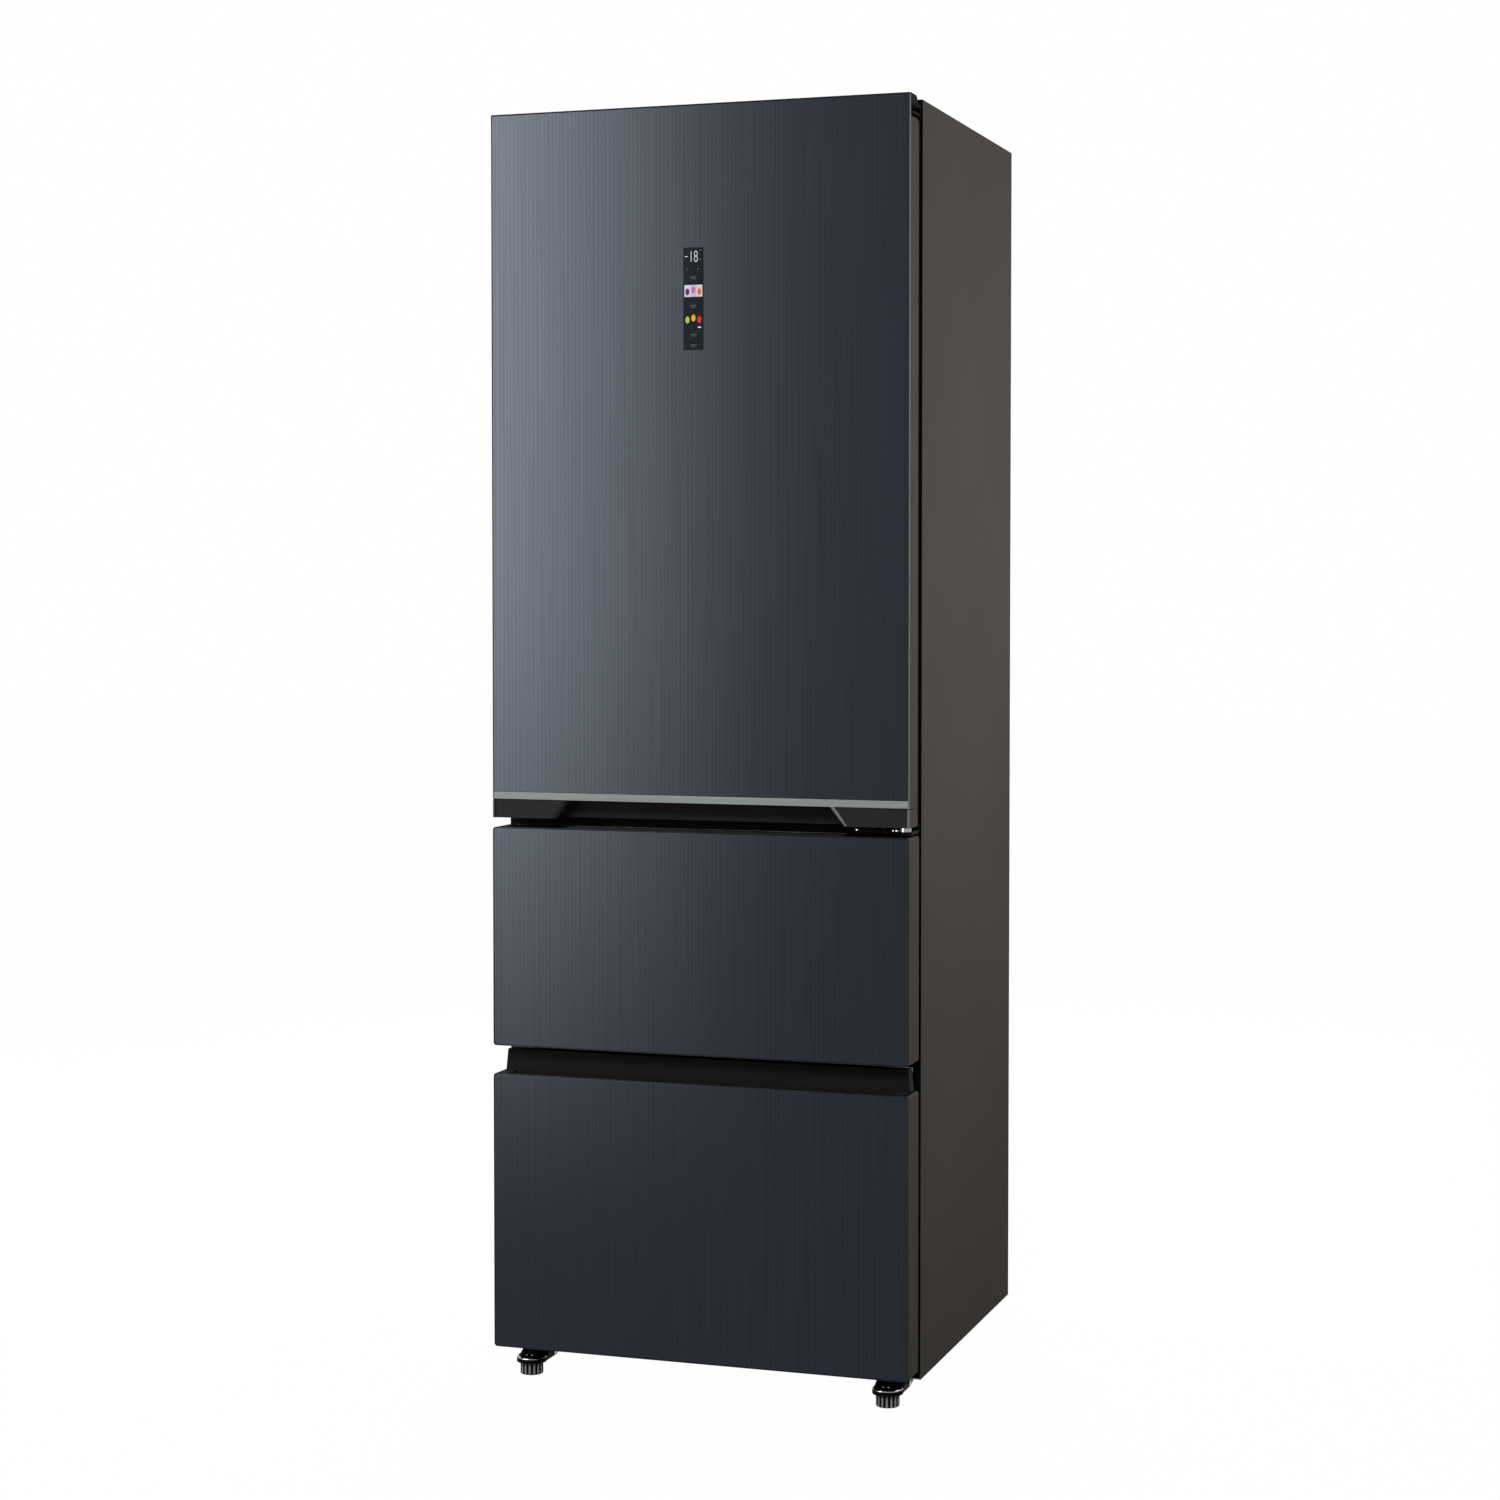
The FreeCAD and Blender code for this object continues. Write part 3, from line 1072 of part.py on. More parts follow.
def build_feet():
    build_foot("front_foot_left", "-foot_x")
    build_foot("front_foot_right", "foot_x")

    tongue_x = ("foot_x - bracket_radius", "foot_x + bracket_radius")
    tongue = box("bracket_tongue", tongue_x, ("foot_y", "foot_y + bracket_flat"),
                 ("bracket_bottom", "bracket_top"))
    nose = cylinder("bracket_nose", "z", ("foot_x", "foot_y", "bracket_bottom"), "bracket_radius",
                    "bracket_plate")
    pieces = [tongue, nose]
    for side, start in (("inner", "foot_x - bracket_radius"),
                        ("outer", "foot_x + bracket_radius - bracket_wall")):
        pieces.append(pad("bracket_side_" + side, "YZ_Plane", [
            ("foot_y", "bracket_bottom"), ("foot_y + bracket_flat", "bracket_bottom"),
            ("foot_y + bracket_length", "base_height"), ("cabinet_front", "base_height"),
            ("foot_y", "bracket_top"),
        ], "bracket_wall", start))
    hole = cylinder("bracket_hole", "z", ("foot_x", "foot_y", "bracket_bottom"),
                    "stem_radius + running_clearance", "bracket_plate")
    right = cut("foot_bracket_right", join("bracket_form", pieces), [hole])
    keep(group("foot_brackets", [right, mirrored("foot_bracket_left", right)]))

    ears, holes, axles = [], [], []
    for name, side in (("left", "-roller_x"), ("right", "roller_x")):
        half = "roller_width / 2"
        for at, sign in (("inner", "-"), ("outer", "+")):
            near = "%s %s (%s + roller_side_gap)" % (side, sign, half)
            far = "%s %s (%s + roller_side_gap + ear_wall)" % (side, sign, half)
            x = (far, near) if sign == "-" else (near, far)
            ears.append(box("ear_%s_%s" % (name, at), x, ("roller_y - ear_reach", "roller_y + ear_reach"),
                            ("roller_radius - ear_reach", "base_height")))
        reach = "(%s + roller_side_gap + ear_wall)" % half
        start = ("%s - %s" % (side, reach), "roller_y", "roller_radius")
        axles.append(cylinder("axle_" + name, "x", start, "axle_radius", "2 * " + reach))
        holes.append(cylinder("axle_hole_" + name, "x", start, "axle_radius + running_clearance",
                              "2 * " + reach))
        wheel_start = ("%s - %s" % (side, half), "roller_y", "roller_radius")
        wheel = cylinder("wheel_" + name, "x", wheel_start, "roller_radius", "roller_width")
        bore = cylinder("wheel_bore_" + name, "x", wheel_start, "axle_radius + running_clearance",
                        "roller_width")
        keep(cut("rear_roller_" + name, wheel, [bore]))
        holes.append(box("roller_well_" + name,
                         ("%s - %s - roller_side_gap" % (side, half),
                          "%s + %s + roller_side_gap" % (side, half)),
                         ("roller_y - roller_radius - roller_headroom",
                          "roller_y + roller_radius + roller_headroom"),
                         ("0", "2 * roller_radius + roller_headroom")))
    keep(group("roller_axles", axles))
    inside = ("-skin_half", "skin_half")
    floor = box("base_floor", inside, ("cabinet_front", "machine_front"),
                ("base_height", "base_height + base_sheet"))
    wall = box("base_wall", inside, ("machine_front - base_sheet", "machine_front"),
               ("base_height", "machine_top + base_sheet"))
    roof = box("base_roof", inside, ("machine_front", "cabinet_back"),
               ("machine_top", "machine_top + base_sheet"))
    deck = box("base_deck", inside, ("machine_front", "cabinet_back"),
               ("base_height", "base_height + bay_plate"))
    keep(cut("base_pan", join("base_form", [floor, wall, roof, deck] + ears), holes))


build_shell()
hinge_holes = build_hinges()
build_front_frame_and_foam(hinge_holes)
build_fridge_interior()
build_cooling()
build_bushes()
build_door()
build_drawers()
build_feet()
doc.recompute()

for obj in doc.Objects:
    if "Invalid" in obj.State or "Error" in obj.State:
        raise RuntimeError("%s failed: %s" % (obj.Name, obj.State))
os.makedirs("parts", exist_ok=True)
for part in sub_parts:
    if part.Shape.isNull() or not part.Shape.isValid():
        raise RuntimeError("%s has no valid shape" % part.Label)
for part in sub_parts:
    part.Shape.exportStep("parts/%s.step" % part.Label)
print("%d sub-parts" % len(sub_parts))
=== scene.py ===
import json
import math

import bpy
from bpy.props import FloatProperty, FloatVectorProperty, PointerProperty
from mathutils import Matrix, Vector

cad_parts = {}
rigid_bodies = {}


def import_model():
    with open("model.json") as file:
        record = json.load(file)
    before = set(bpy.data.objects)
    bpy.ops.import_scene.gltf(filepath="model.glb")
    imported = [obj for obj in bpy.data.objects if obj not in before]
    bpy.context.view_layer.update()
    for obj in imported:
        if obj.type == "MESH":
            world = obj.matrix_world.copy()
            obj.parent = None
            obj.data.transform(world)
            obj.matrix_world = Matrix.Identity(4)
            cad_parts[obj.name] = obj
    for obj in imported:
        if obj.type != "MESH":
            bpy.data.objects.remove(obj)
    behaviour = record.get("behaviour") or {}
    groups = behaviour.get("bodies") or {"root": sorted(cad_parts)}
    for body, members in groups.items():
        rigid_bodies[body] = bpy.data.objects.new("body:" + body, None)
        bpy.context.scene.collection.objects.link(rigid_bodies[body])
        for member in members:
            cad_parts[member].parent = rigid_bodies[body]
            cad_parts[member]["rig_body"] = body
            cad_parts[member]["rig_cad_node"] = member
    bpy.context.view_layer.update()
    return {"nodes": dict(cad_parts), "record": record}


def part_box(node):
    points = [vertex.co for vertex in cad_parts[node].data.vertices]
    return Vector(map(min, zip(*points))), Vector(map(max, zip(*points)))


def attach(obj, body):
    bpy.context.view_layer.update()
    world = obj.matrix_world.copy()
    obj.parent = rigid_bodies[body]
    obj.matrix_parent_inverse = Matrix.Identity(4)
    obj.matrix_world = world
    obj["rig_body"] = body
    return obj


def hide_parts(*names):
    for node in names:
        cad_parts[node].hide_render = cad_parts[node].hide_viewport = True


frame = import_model()

bl_info = {
    "name": "Fridge Freezer Finish",
    "version": (1, 0, 0),
    "blender": (4, 5, 0),
    "location": "View3D > Sidebar > Fridge Freezer",
    "description": "Dresses the solids of a fridge freezer with rounded pieces, details and materials",
    "category": "Object",
}

# What the frame says of each solid

RECORD = frame["record"]
BODY_OF = {node: body for body, nodes in RECORD["behaviour"]["bodies"].items() for node in nodes}
SLOT_OF = {entry["node"]: entry["material_slot"] for entry in RECORD["subparts"]}

# Values that several steps share

MM = 0.001
# Distance within which a point counts as lying on a plane
NEAR = 0.1 * MM
# Angle from which an edge counts as sharp
WIDE_EDGE = math.radians(35)
# Length of a normal along an axis from which its face counts as facing that way
FACING = 0.9
# Share of its colour that a lit surface reflects
UNLIT_SHARE = 0.2
# Strength of the display's light
DISPLAY_GLOW = 0.8
# Length of one wave of the wave texture at scale 1
WAVE_LENGTH = math.pi / 10
# Thickness of the black strips that cover foam as painted shade in the gaps
STRIP = 1.2 * MM
# Materials made so far, by name
FINISHES = {}


# Settings


def colour(name, description, default):
    """A linear colour that a user can change."""
    return FloatVectorProperty(name=name, description=description, default=default, size=3, min=0.0,
                               max=1.0, subtype="COLOR")


def length(name, description, default):
    """A length in metres that a user can change."""
    return FloatProperty(name=name, description=description, default=default, min=0.0, unit="LENGTH",
                         precision=5)


def light(name, description, default, unit="POWER"):
    """A strength of light that a user can change."""
    return FloatProperty(name=name, description=description, default=default, min=0.0, unit=unit)


class FridgeColours(bpy.types.PropertyGroup):
    front_glass: colour("Front glass", "Film behind the glass of the fronts", (0.0199, 0.0233, 0.0316))
    steel_paint: colour("Steel paint", "Paint of the cabinet and the door's sides", (0.066, 0.0625, 0.059))
    moulding: colour("Dark moulding", "Plastic of the handle and the caps", (0.024, 0.024, 0.0245))
    # Painted shade: near-black for the front frame, the door and drawer edges, the top hinge and other places
    # in shade
    deep_black: colour("Deep black", "Front frame and door edge", (0.003, 0.003, 0.0031))
    grip: colour("Grip", "Plastic of the lower grip", (0.013, 0.013, 0.0133))
    # Painted highlight: light colour on the door's right front corners, standing in for the lit rounded edge
    edge_paint: colour("Edge paint", "Light corner beside the door's glass", (0.15, 0.155, 0.155))
    trim: colour("Trim strip", "Metal strip under the door's glass", (0.28, 0.315, 0.325))
    liner: colour("Liner", "White plastic inside", (0.80, 0.82, 0.83))
    clear_plastic: colour("Clear plastic", "Bins, crisper and baskets", (0.86, 0.91, 0.94))
    shelf_glass: colour("Shelf glass", "Glass of the shelves", (0.80, 0.92, 0.89))
    rubber: colour("Seal", "Rubber of the door seals", (0.016, 0.016, 0.017))
    zinc: colour("Zinc", "Rails, screws and axles", (0.50, 0.51, 0.52))
    foot: colour("Foot", "Ribs of the levelling feet", (0.23, 0.23, 0.233))
    symbols: colour("Symbols", "Lit figures of the display", (0.85, 0.88, 0.92))


class FridgeSizes(bpy.types.PropertyGroup):
    edge: length("Edge rounding", "Rounding of sheet and moulded edges", 0.5 * MM)
    glass_edge: length("Glass edge", "Ground edge of the glass fronts", 0.6 * MM)
    soft_edge: length("Soft edge", "Rounding of tubs and liners", 1.0 * MM)
    cheek_chamfer: length("Cheek chamfer", "Slanted edge beside the handle recess", 4.5 * MM)
    profile_step: length("Profile step", "How far the side profiles stop short of the door's back", 11.0 * MM)
    profile_corner: length("Profile corner", "Rounding of the side profiles' upper rear corner", 9.0 * MM)
    corner: length("Front corner", "Rounding of the door's outer front corners", 1.3 * MM)
    cap_step: length("Cap step", "How far the top of the cap stops short of the door's back", 16.0 * MM)
    pressing: length("Pressing", "Height of the pressed fields of the rear panel", 0.6 * MM)
    display_width: length("Display width", "Width of the dark display window", 28.6 * MM)
    display_height: length("Display height", "Height of the dark display window", 137.0 * MM)
    display_shift: length("Display shift", "How far the window lies left of its board's middle", 3.3 * MM)
    display_lift: length("Display lift", "How far the window lies over its board's middle", 1.4 * MM)
    film: length("Film", "Thickness of one printed layer of the display", 0.08 * MM)


class FridgeStudio(bpy.types.PropertyGroup):
    card_glow: light("Card", "Glow of the large card at the left", 12.9, "NONE")
    front_power: light("Front", "Power of the soft lamp over the camera", 90.0)
    side_power: light("Side", "Power of the lamp beside the cabinet", 16.8)
    left_power: light("Left", "Power of the lamp on the side away from the camera", 60.0)
    rear_power: light("Rear", "Power of the lamp over the back", 150.0)
    fill: light("Fill", "Light from all around", 0.17, "NONE")


def colours():
    return bpy.context.scene.fridge_colours


def sizes():
    return bpy.context.scene.fridge_sizes


def studio():
    return bpy.context.scene.fridge_studio


# Nodes of materials and of the world


def feed(owner, node, *ordered, **by_name):
    """Put values on a node's inputs, by order or by name, or link other nodes' outputs to them."""
    inputs = list(zip(node.inputs, ordered))
    inputs += [(node.inputs[name.replace("_", " ")], value) for name, value in by_name.items()]
    for socket, value in inputs:
        if isinstance(value, bpy.types.NodeSocket):
            owner.node_tree.links.new(value, socket)
        else:
            socket.default_value = value
    return node


def add_node(owner, kind, *ordered, **by_name):
    """New node of a kind with some of its inputs fed."""
    return feed(owner, owner.node_tree.nodes.new(kind), *ordered, **by_name)


def maths(owner, operation, *values):
    """Result of one operation on values and on other nodes' outputs."""
    node = owner.node_tree.nodes.new("ShaderNodeMath")
    node.operation = operation
    return feed(owner, node, *values).outputs["Value"]


def even(count):
    """The same stretch along each axis."""
    return (count, count, count)


def stretched(material, stretch):
    """The piece's own coordinates, stretched along each axis."""
    place = add_node(material, "ShaderNodeTexCoord")
    mapping = add_node(material, "ShaderNodeMapping", Vector=place.outputs["Object"], Scale=stretch)
    return mapping.outputs["Vector"]


def grain(material, stretch, detail=2.0):
    """Noise on the piece's own coordinates, with so many features per metre along each axis."""
    noise = add_node(material, "ShaderNodeTexNoise", Vector=stretched(material, stretch), Scale=1.0,
                     Detail=detail)
    return noise.outputs["Fac"]


def bands(material, pitch, waver):
    """Upright lines at a pitch in metres, with a slow waver in their spacing."""
    wave = add_node(material, "ShaderNodeTexWave", Vector=stretched(material, (1.0, 1.0, 0.02)),
                    Scale=WAVE_LENGTH / pitch, Distortion=waver, Detail=1.0)
    return wave.outputs["Fac"]


def spread(material, height, low, high, reach=(0.3, 0.7)):
    """A height from noise brought to a range of values."""
    return add_node(material, "ShaderNodeMapRange", height, *reach, low, high).outputs["Result"]


def shader_of(material):
    return material.node_tree.nodes["Principled BSDF"]


def shine(material, light_node):
    """Let a node with one output be what a material shows."""
    feed(material, material.node_tree.nodes["Material Output"], Surface=light_node.outputs[0])


def shaded(base, share):
    """A share of a colour."""
    return [channel * share for channel in base]


def vary_colour(material, height, darker, lighter, reach=(0.3, 0.7)):
    """Base colour between a darker and a lighter share of the material's own colour."""
    shader = shader_of(material)
    plain = shader.inputs["Base Color"].default_value[:3]
    ramp = add_node(material, "ShaderNodeValToRGB", Fac=height)
    for stop, at, share in zip(ramp.color_ramp.elements, reach, (darker, lighter)):
        stop.position = at
        stop.color = (*shaded(plain, share), 1.0)
    feed(material, shader, Base_Color=ramp.outputs["Color"])


def vary_roughness(material, height, low, high):
    feed(material, shader_of(material), Roughness=spread(material, height, low, high))


def emboss(material, height, strength, distance):
    """Small relief from a height."""
    bump = add_node(material, "ShaderNodeBump", Height=height, Strength=strength, Distance=distance)
    feed(material, shader_of(material), Normal=bump.outputs["Normal"])


def textured(material, stretch, shares, strength, distance, detail=2.0):
    """Give a material one grain for its colour and its relief."""
    height = grain(material, stretch, detail)
    vary_colour(material, height, *shares)
    emboss(material, height, strength, distance)
    return material


# Materials


def finish(name, base, roughness, **inputs):
    """New node material with plain values on its shader's own sockets."""
    material = bpy.data.materials.new(name)
    material.use_nodes = True
    feed(material, shader_of(material), Base_Color=(*base, 1.0), Roughness=roughness, **inputs)
    return material


def hairline_glass(name):
    """Dark glass over a metallic film with long upright hairlines."""
    pitch, waver, line_share, strand_share = 5.6 * MM, 2.5, 0.6, 0.4
    material = finish(name, colours().front_glass, 0.277, Metallic=1.0)
    strands = spread(material, grain(material, (520.0, 40.0, 4.0), detail=0.0), 0.0, strand_share)
    lines = maths(material, "MULTIPLY_ADD", bands(material, pitch, waver), line_share, strands)
    vary_colour(material, lines, 0.90, 1.10, (0.1, 0.9))
    vary_roughness(material, grain(material, (90.0, 40.0, 2.5)), 0.275, 0.279)
    return material


def display_glass(name):
    """Plain dark window in the glass."""
    material = finish(name, shaded(colours().front_glass, 0.3), 0.22, Metallic=1.0)
    vary_roughness(material, grain(material, even(40.0)), 0.20, 0.24)
    return material


def steel_paint(name):
    """Fine-grained satin paint on sheet steel."""
    material = finish(name, colours().steel_paint, 0.6, Specular_IOR_Level=0.0)
    vary_colour(material, grain(material, even(3.0)), 0.96, 1.04)
    emboss(material, grain(material, even(2200.0)), 0.05, 0.02 * MM)
    return material


def dark_moulding(name, base, roughness, specular):
    """Moulded plastic with a fine spark-eroded grain."""
    material = finish(name, base, roughness, Specular_IOR_Level=specular)
    return textured(material, even(1600.0), (0.92, 1.08), 0.12, 0.04 * MM)


def brushed_metal(name, base, roughness, stretch):
    """Metal with fine brushing along the axis with the smallest stretch."""
    material = finish(name, base, roughness, Metallic=1.0)
    lines = grain(material, stretch, detail=4.0)
    vary_colour(material, lines, 0.92, 1.08)
    vary_roughness(material, lines, roughness - 0.05, roughness + 0.06)
    return material


def anodised_strip(name):
    """Matt anodised strip, brushed along its length."""
    material = finish(name, colours().trim, 0.5, Specular_IOR_Level=0.1)
    return textured(material, (6.0, 900.0, 900.0), (0.88, 1.12), 0.1, 0.03 * MM, detail=4.0)


def moulded_white(name):
    """White moulded plastic, slightly glossy."""
    material = finish(name, colours().liner, 0.35, Specular_IOR_Level=0.4)
    vary_colour(material, grain(material, even(4.0)), 0.98, 1.02)
    emboss(material, grain(material, even(500.0)), 0.04, 0.05 * MM)
    return material


def clear_plastic(name):
    """Clear moulded plastic with a faint haze."""
    material = finish(name, colours().clear_plastic, 0.08, Transmission_Weight=0.92, IOR=1.49)
    vary_roughness(material, grain(material, even(30.0)), 0.05, 0.12)
    return material


def shelf_glass(name):
    """Tempered glass, a little green."""
    material = finish(name, colours().shelf_glass, 0.02, Transmission_Weight=0.97, IOR=1.5)
    vary_roughness(material, grain(material, even(18.0)), 0.01, 0.04)
    return material


def rubber(name):
    """Matt rubber."""
    material = finish(name, colours().rubber, 0.75, Specular_IOR_Level=0.15)
    return textured(material, even(700.0), (0.85, 1.15), 0.1, 0.05 * MM)


def foam(name):
    """Cut polyurethane foam with open cells."""
    material = finish(name, (0.78, 0.70, 0.48), 0.9, Specular_IOR_Level=0.1)
    return textured(material, even(350.0), (0.88, 1.06), 0.5, 0.5 * MM, detail=4.0)


def lit(name, base, strength):
    """Surface that shines with its own colour."""
    material = finish(name, shaded(base, UNLIT_SHARE), 0.5, Specular_IOR_Level=0.0,
                      Emission_Color=(*base, 1.0), Emission_Strength=strength)
    vary_colour(material, grain(material, even(60.0)), 0.97, 1.03)
    return material


def kept(name, make, *values):
    """A material by name, made the first time it is asked for."""
    if name not in FINISHES:
        FINISHES[name] = make(name, *values)
    return FINISHES[name]


def deep_black():
    """Matt black of the places that light hardly reaches, painted there as shade."""
    return kept("deep_black", dark_moulding, colours().deep_black, 0.6, 0.02)


def dark_chrome():
    """Dark polished plating."""
    return kept("dark_chrome", brushed_metal, (0.30, 0.30, 0.305), 0.16, even(60.0))


def polished_steel():
    """Bright turned steel."""
    return kept("polished_steel", brushed_metal, (0.78, 0.79, 0.80), 0.2, even(60.0))


def edge_paint():
    """Painted highlight: light satin colour on narrow corners, where a rounded edge catches the light."""
    return kept("edge_paint", dark_moulding, colours().edge_paint, 0.5, 0.0)


def finish_of(slot):
    """Material for one of the record's slots."""
    pick = colours()
    makers = {
        "graphite_steel": ("steel_paint", steel_paint),
        "front_glass": ("hairline_glass", hairline_glass),
        "dark_moulding": ("satin_moulding", dark_moulding, pick.moulding, 0.5, 0.0),
        "black_moulding": ("black_moulding", dark_moulding, pick.moulding, 0.55, 0.02),
        "trim_aluminium": ("trim_metal", anodised_strip),
        "liner_white": ("liner_plastic", moulded_white),
        "clear_plastic": ("clear_plastic", clear_plastic),
        "shelf_glass": ("shelf_glass", shelf_glass),
        "silver_trim": ("silver_trim", brushed_metal, (0.62, 0.63, 0.64), 0.3, (6.0, 900.0, 900.0)),
        "gasket_rubber": ("seal_rubber", rubber),
        "zinc_steel": ("zinc_steel", brushed_metal, pick.zinc, 0.35, (500.0, 8.0, 500.0)),
        "black_steel": ("black_steel", dark_moulding, (0.010, 0.010, 0.011), 0.4, 0.01),
        "galvanised_steel": ("galvanised_steel", brushed_metal, (0.30, 0.31, 0.32), 0.45, even(40.0)),
        "foam": ("insulation_foam", foam),
        "fin_aluminium": ("fin_aluminium", brushed_metal, (0.66, 0.67, 0.68), 0.35, (300.0, 300.0, 12.0)),
        "compressor_black": ("compressor_paint", dark_moulding, (0.012, 0.012, 0.013), 0.3, 0.5),
        "lamp_diffuser": ("lamp_diffuser", lit, (0.95, 0.96, 0.93), 1.2),
        "circuit_board": ("circuit_board", dark_moulding, (0.03, 0.12, 0.06), 0.4, 0.4),
        "foot_plastic": ("foot_plastic", dark_moulding, pick.foot, 0.4, 0.2),
        "roller_plastic": ("roller_plastic", dark_moulding, (0.55, 0.55, 0.53), 0.45, 0.4),
    }
    return kept(*makers[slot])


# Modelling


def deselect():
    bpy.ops.object.select_all(action="DESELECT")


def only(piece):
    """Select one object and make it active."""
    deselect()
    piece.select_set(True)
    bpy.context.view_layer.objects.active = piece


def editing(piece, select="DESELECT"):
    """Go into edit mode on one object, with everything or nothing selected."""
    only(piece)
    bpy.ops.object.mode_set(mode="EDIT")
    bpy.ops.mesh.select_all(action=select)


def done():
    """Leave edit mode."""
    bpy.ops.object.mode_set(mode="OBJECT")


def choose(piece, wanted_edges=None, wanted_faces=None):
    """Go into edit mode with those edges or faces selected that a test wants."""
    editing(piece)
    bpy.ops.mesh.select_mode(type="EDGE" if wanted_edges else "FACE")
    done()
    mesh = piece.data
    if wanted_edges:
        for edge in mesh.edges:
            ends = [mesh.vertices[at].co for at in edge.vertices]
            edge.select = wanted_edges(*ends)
    else:
        for face in mesh.polygons:
            face.select = wanted_faces(face.center, face.normal)
    bpy.ops.object.mode_set(mode="EDIT")


def bevel_edges(piece, wanted, width, segments):
    """Bevel the edges that a test wants."""
    choose(piece, wanted_edges=wanted)
    bpy.ops.mesh.bevel(offset=width, segments=segments, affect="EDGES")
    done()


def slice_across(piece, axis, at, **options):
    """Cut a piece's faces along a plane across an axis."""
    across = Vector([float(axis == letter) for letter in "xyz"])
    editing(piece, "SELECT")
    bpy.ops.mesh.bisect(plane_co=across * at, plane_no=across, **options)
    done()


def groove(piece, axis, at, width, depth):
    """Press in a band of a piece's walls between two planes across an axis."""
    index = "xyz".index(axis)
    for side in (-0.5, 0.5):
        slice_across(piece, axis, at + side * width)
    choose(piece, wanted_faces=lambda centre, normal: abs(centre[index] - at) < width / 2
           and abs(normal[index]) < 0.1)
    bpy.ops.mesh.extrude_region_shrink_fatten(TRANSFORM_OT_shrink_fatten={"value": -depth})
    done()


def modified(piece, kind, **settings):
    """Add a modifier with some settings and apply it."""
    only(piece)
    bpy.ops.object.modifier_add(type=kind)
    modifier = piece.modifiers[-1]
    for setting, value in settings.items():
        setattr(modifier, setting, value)
    bpy.ops.object.modifier_apply(modifier=modifier.name)


def smooth(piece):
    """Shade a piece smooth, apart from its sharp edges."""
    only(piece)
    bpy.ops.object.shade_smooth_by_angle(angle=WIDE_EDGE)


def round_edges(piece, width, segments=2):
    """Round every sharp edge and keep broad faces looking flat."""
    modified(piece, "BEVEL", width=width, segments=segments, limit_method="ANGLE", angle_limit=WIDE_EDGE)
    smooth(piece)
    modified(piece, "WEIGHTED_NORMAL", keep_sharp=True)


def active_as(name):
    """The active object, with a name for it and for its mesh."""
    piece = bpy.context.active_object
    piece.name = name
    piece.data.name = name
    return piece


def apply_place(piece):
    """Put an object's place and scale into its mesh."""
    only(piece)
    bpy.ops.object.transform_apply(location=True, rotation=True, scale=True)
    return piece


def block(name, low, high):
    """Box between two corners, with its place in its mesh."""
    deselect()
    low, high = Vector(low), Vector(high)
    bpy.ops.mesh.primitive_cube_add(size=1.0, location=(low + high) / 2, scale=high - low)
    return apply_place(active_as(name))


def disc(name, centre, axis, radius, depth, sides=32):
    """Short round bar about a centre, along X, Y or Z."""
    deselect()
    turn = {"x": (0, math.pi / 2, 0), "y": (math.pi / 2, 0, 0), "z": (0, 0, 0)}[axis]
    bpy.ops.mesh.primitive_cylinder_add(vertices=sides, radius=radius, depth=depth, location=centre,
                                        rotation=turn)
    return apply_place(active_as(name))


def joined(name, pieces):
    """Several meshes made one object."""
    only(pieces[0])
    for piece in pieces:
        piece.select_set(True)
    bpy.ops.object.join()
    return active_as(name)


def merged_copy(node, form="rounded"):
    """Copy of a solid's mesh with its loose triangles merged into whole faces."""
    weld = 0.002 * MM
    flat = math.radians(0.5)
    only(frame["nodes"][node])
    bpy.ops.object.duplicate()
    piece = active_as("%s_%s" % (node, form))
    piece.parent = None
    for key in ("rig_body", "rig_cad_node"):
        del piece[key]
    bpy.ops.mesh.customdata_custom_splitnormals_clear()
    editing(piece, "SELECT")
    bpy.ops.mesh.remove_doubles(threshold=weld)
    bpy.ops.mesh.dissolve_limited(angle_limit=flat)
    done()
    return piece


def set_material(piece, material):
    piece.data.materials.clear()
    piece.data.materials.append(material)


def paint_faces(piece, material, wanted):
    """Give the faces that a test wants a finish of their own."""
    piece.data.materials.append(material)
    for face in piece.data.polygons:
        if wanted(face.center, face.normal):
            face.material_index = len(piece.data.materials) - 1


def stand_for(piece, node, material=None):
    """Give a piece its node's body and a finish, by default that of the node's slot, and hide the node so
    that the piece stands for it.
    """
    set_material(piece, material or finish_of(SLOT_OF[node]))
    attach(piece, BODY_OF[node])
    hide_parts(node)
    return piece


def rounded(node, width=None, segments=2, material=None):
    """Copy of a solid that stands for it, with the usual rounding where no width is given."""
    piece = merged_copy(node)
    round_edges(piece, width or sizes().edge, segments)
    return stand_for(piece, node, material)


def grooved(node, axis, shares, width, depth, rounding):
    """Rounded copy of a solid that stands for it, with grooves at shares of its reach along an axis."""
    low, high = [corner["xyz".index(axis)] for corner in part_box(node)]
    piece = merged_copy(node)
    for share in shares:
        groove(piece, axis, low + share * (high - low), width, depth)
    round_edges(piece, rounding)
    return stand_for(piece, node)


def dress(*nodes):
    """Give solids that keep their shape the finish of their slot."""
    for node in nodes:
        for slot in frame["nodes"][node].material_slots:
            slot.material = finish_of(SLOT_OF[node])


def detail(piece, body, slot, material):
    """Let a new small piece ride on a body with its own finish."""
    set_material(piece, material)
    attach(piece, body)
    return piece


def fittings(name, pieces, carrier, slot, material, width, segments=2):
    """Small pieces made one rounded object that rides with the solid that carries them."""
    whole = joined(name, pieces)
    round_edges(whole, width, segments)
    return detail(whole, BODY_OF[carrier], slot, material)


def painted_shade_strips(name, carrier, x, y, z):
    """Pair of black strips, one on each side, that cover a solid between distances, depths and heights; their
    black is painted shade of the gap they lie in.
    """
    pair = []
    for side in (-1, 1):
        near, far = sorted((side * x[0], side * x[1]))
        pair.append(block("strip", (near, y[0], z[0]), (far, y[1], z[1])))
    fittings(name, pair, carrier, "black_moulding", deep_black(), 0.3 * MM)


# Pieces


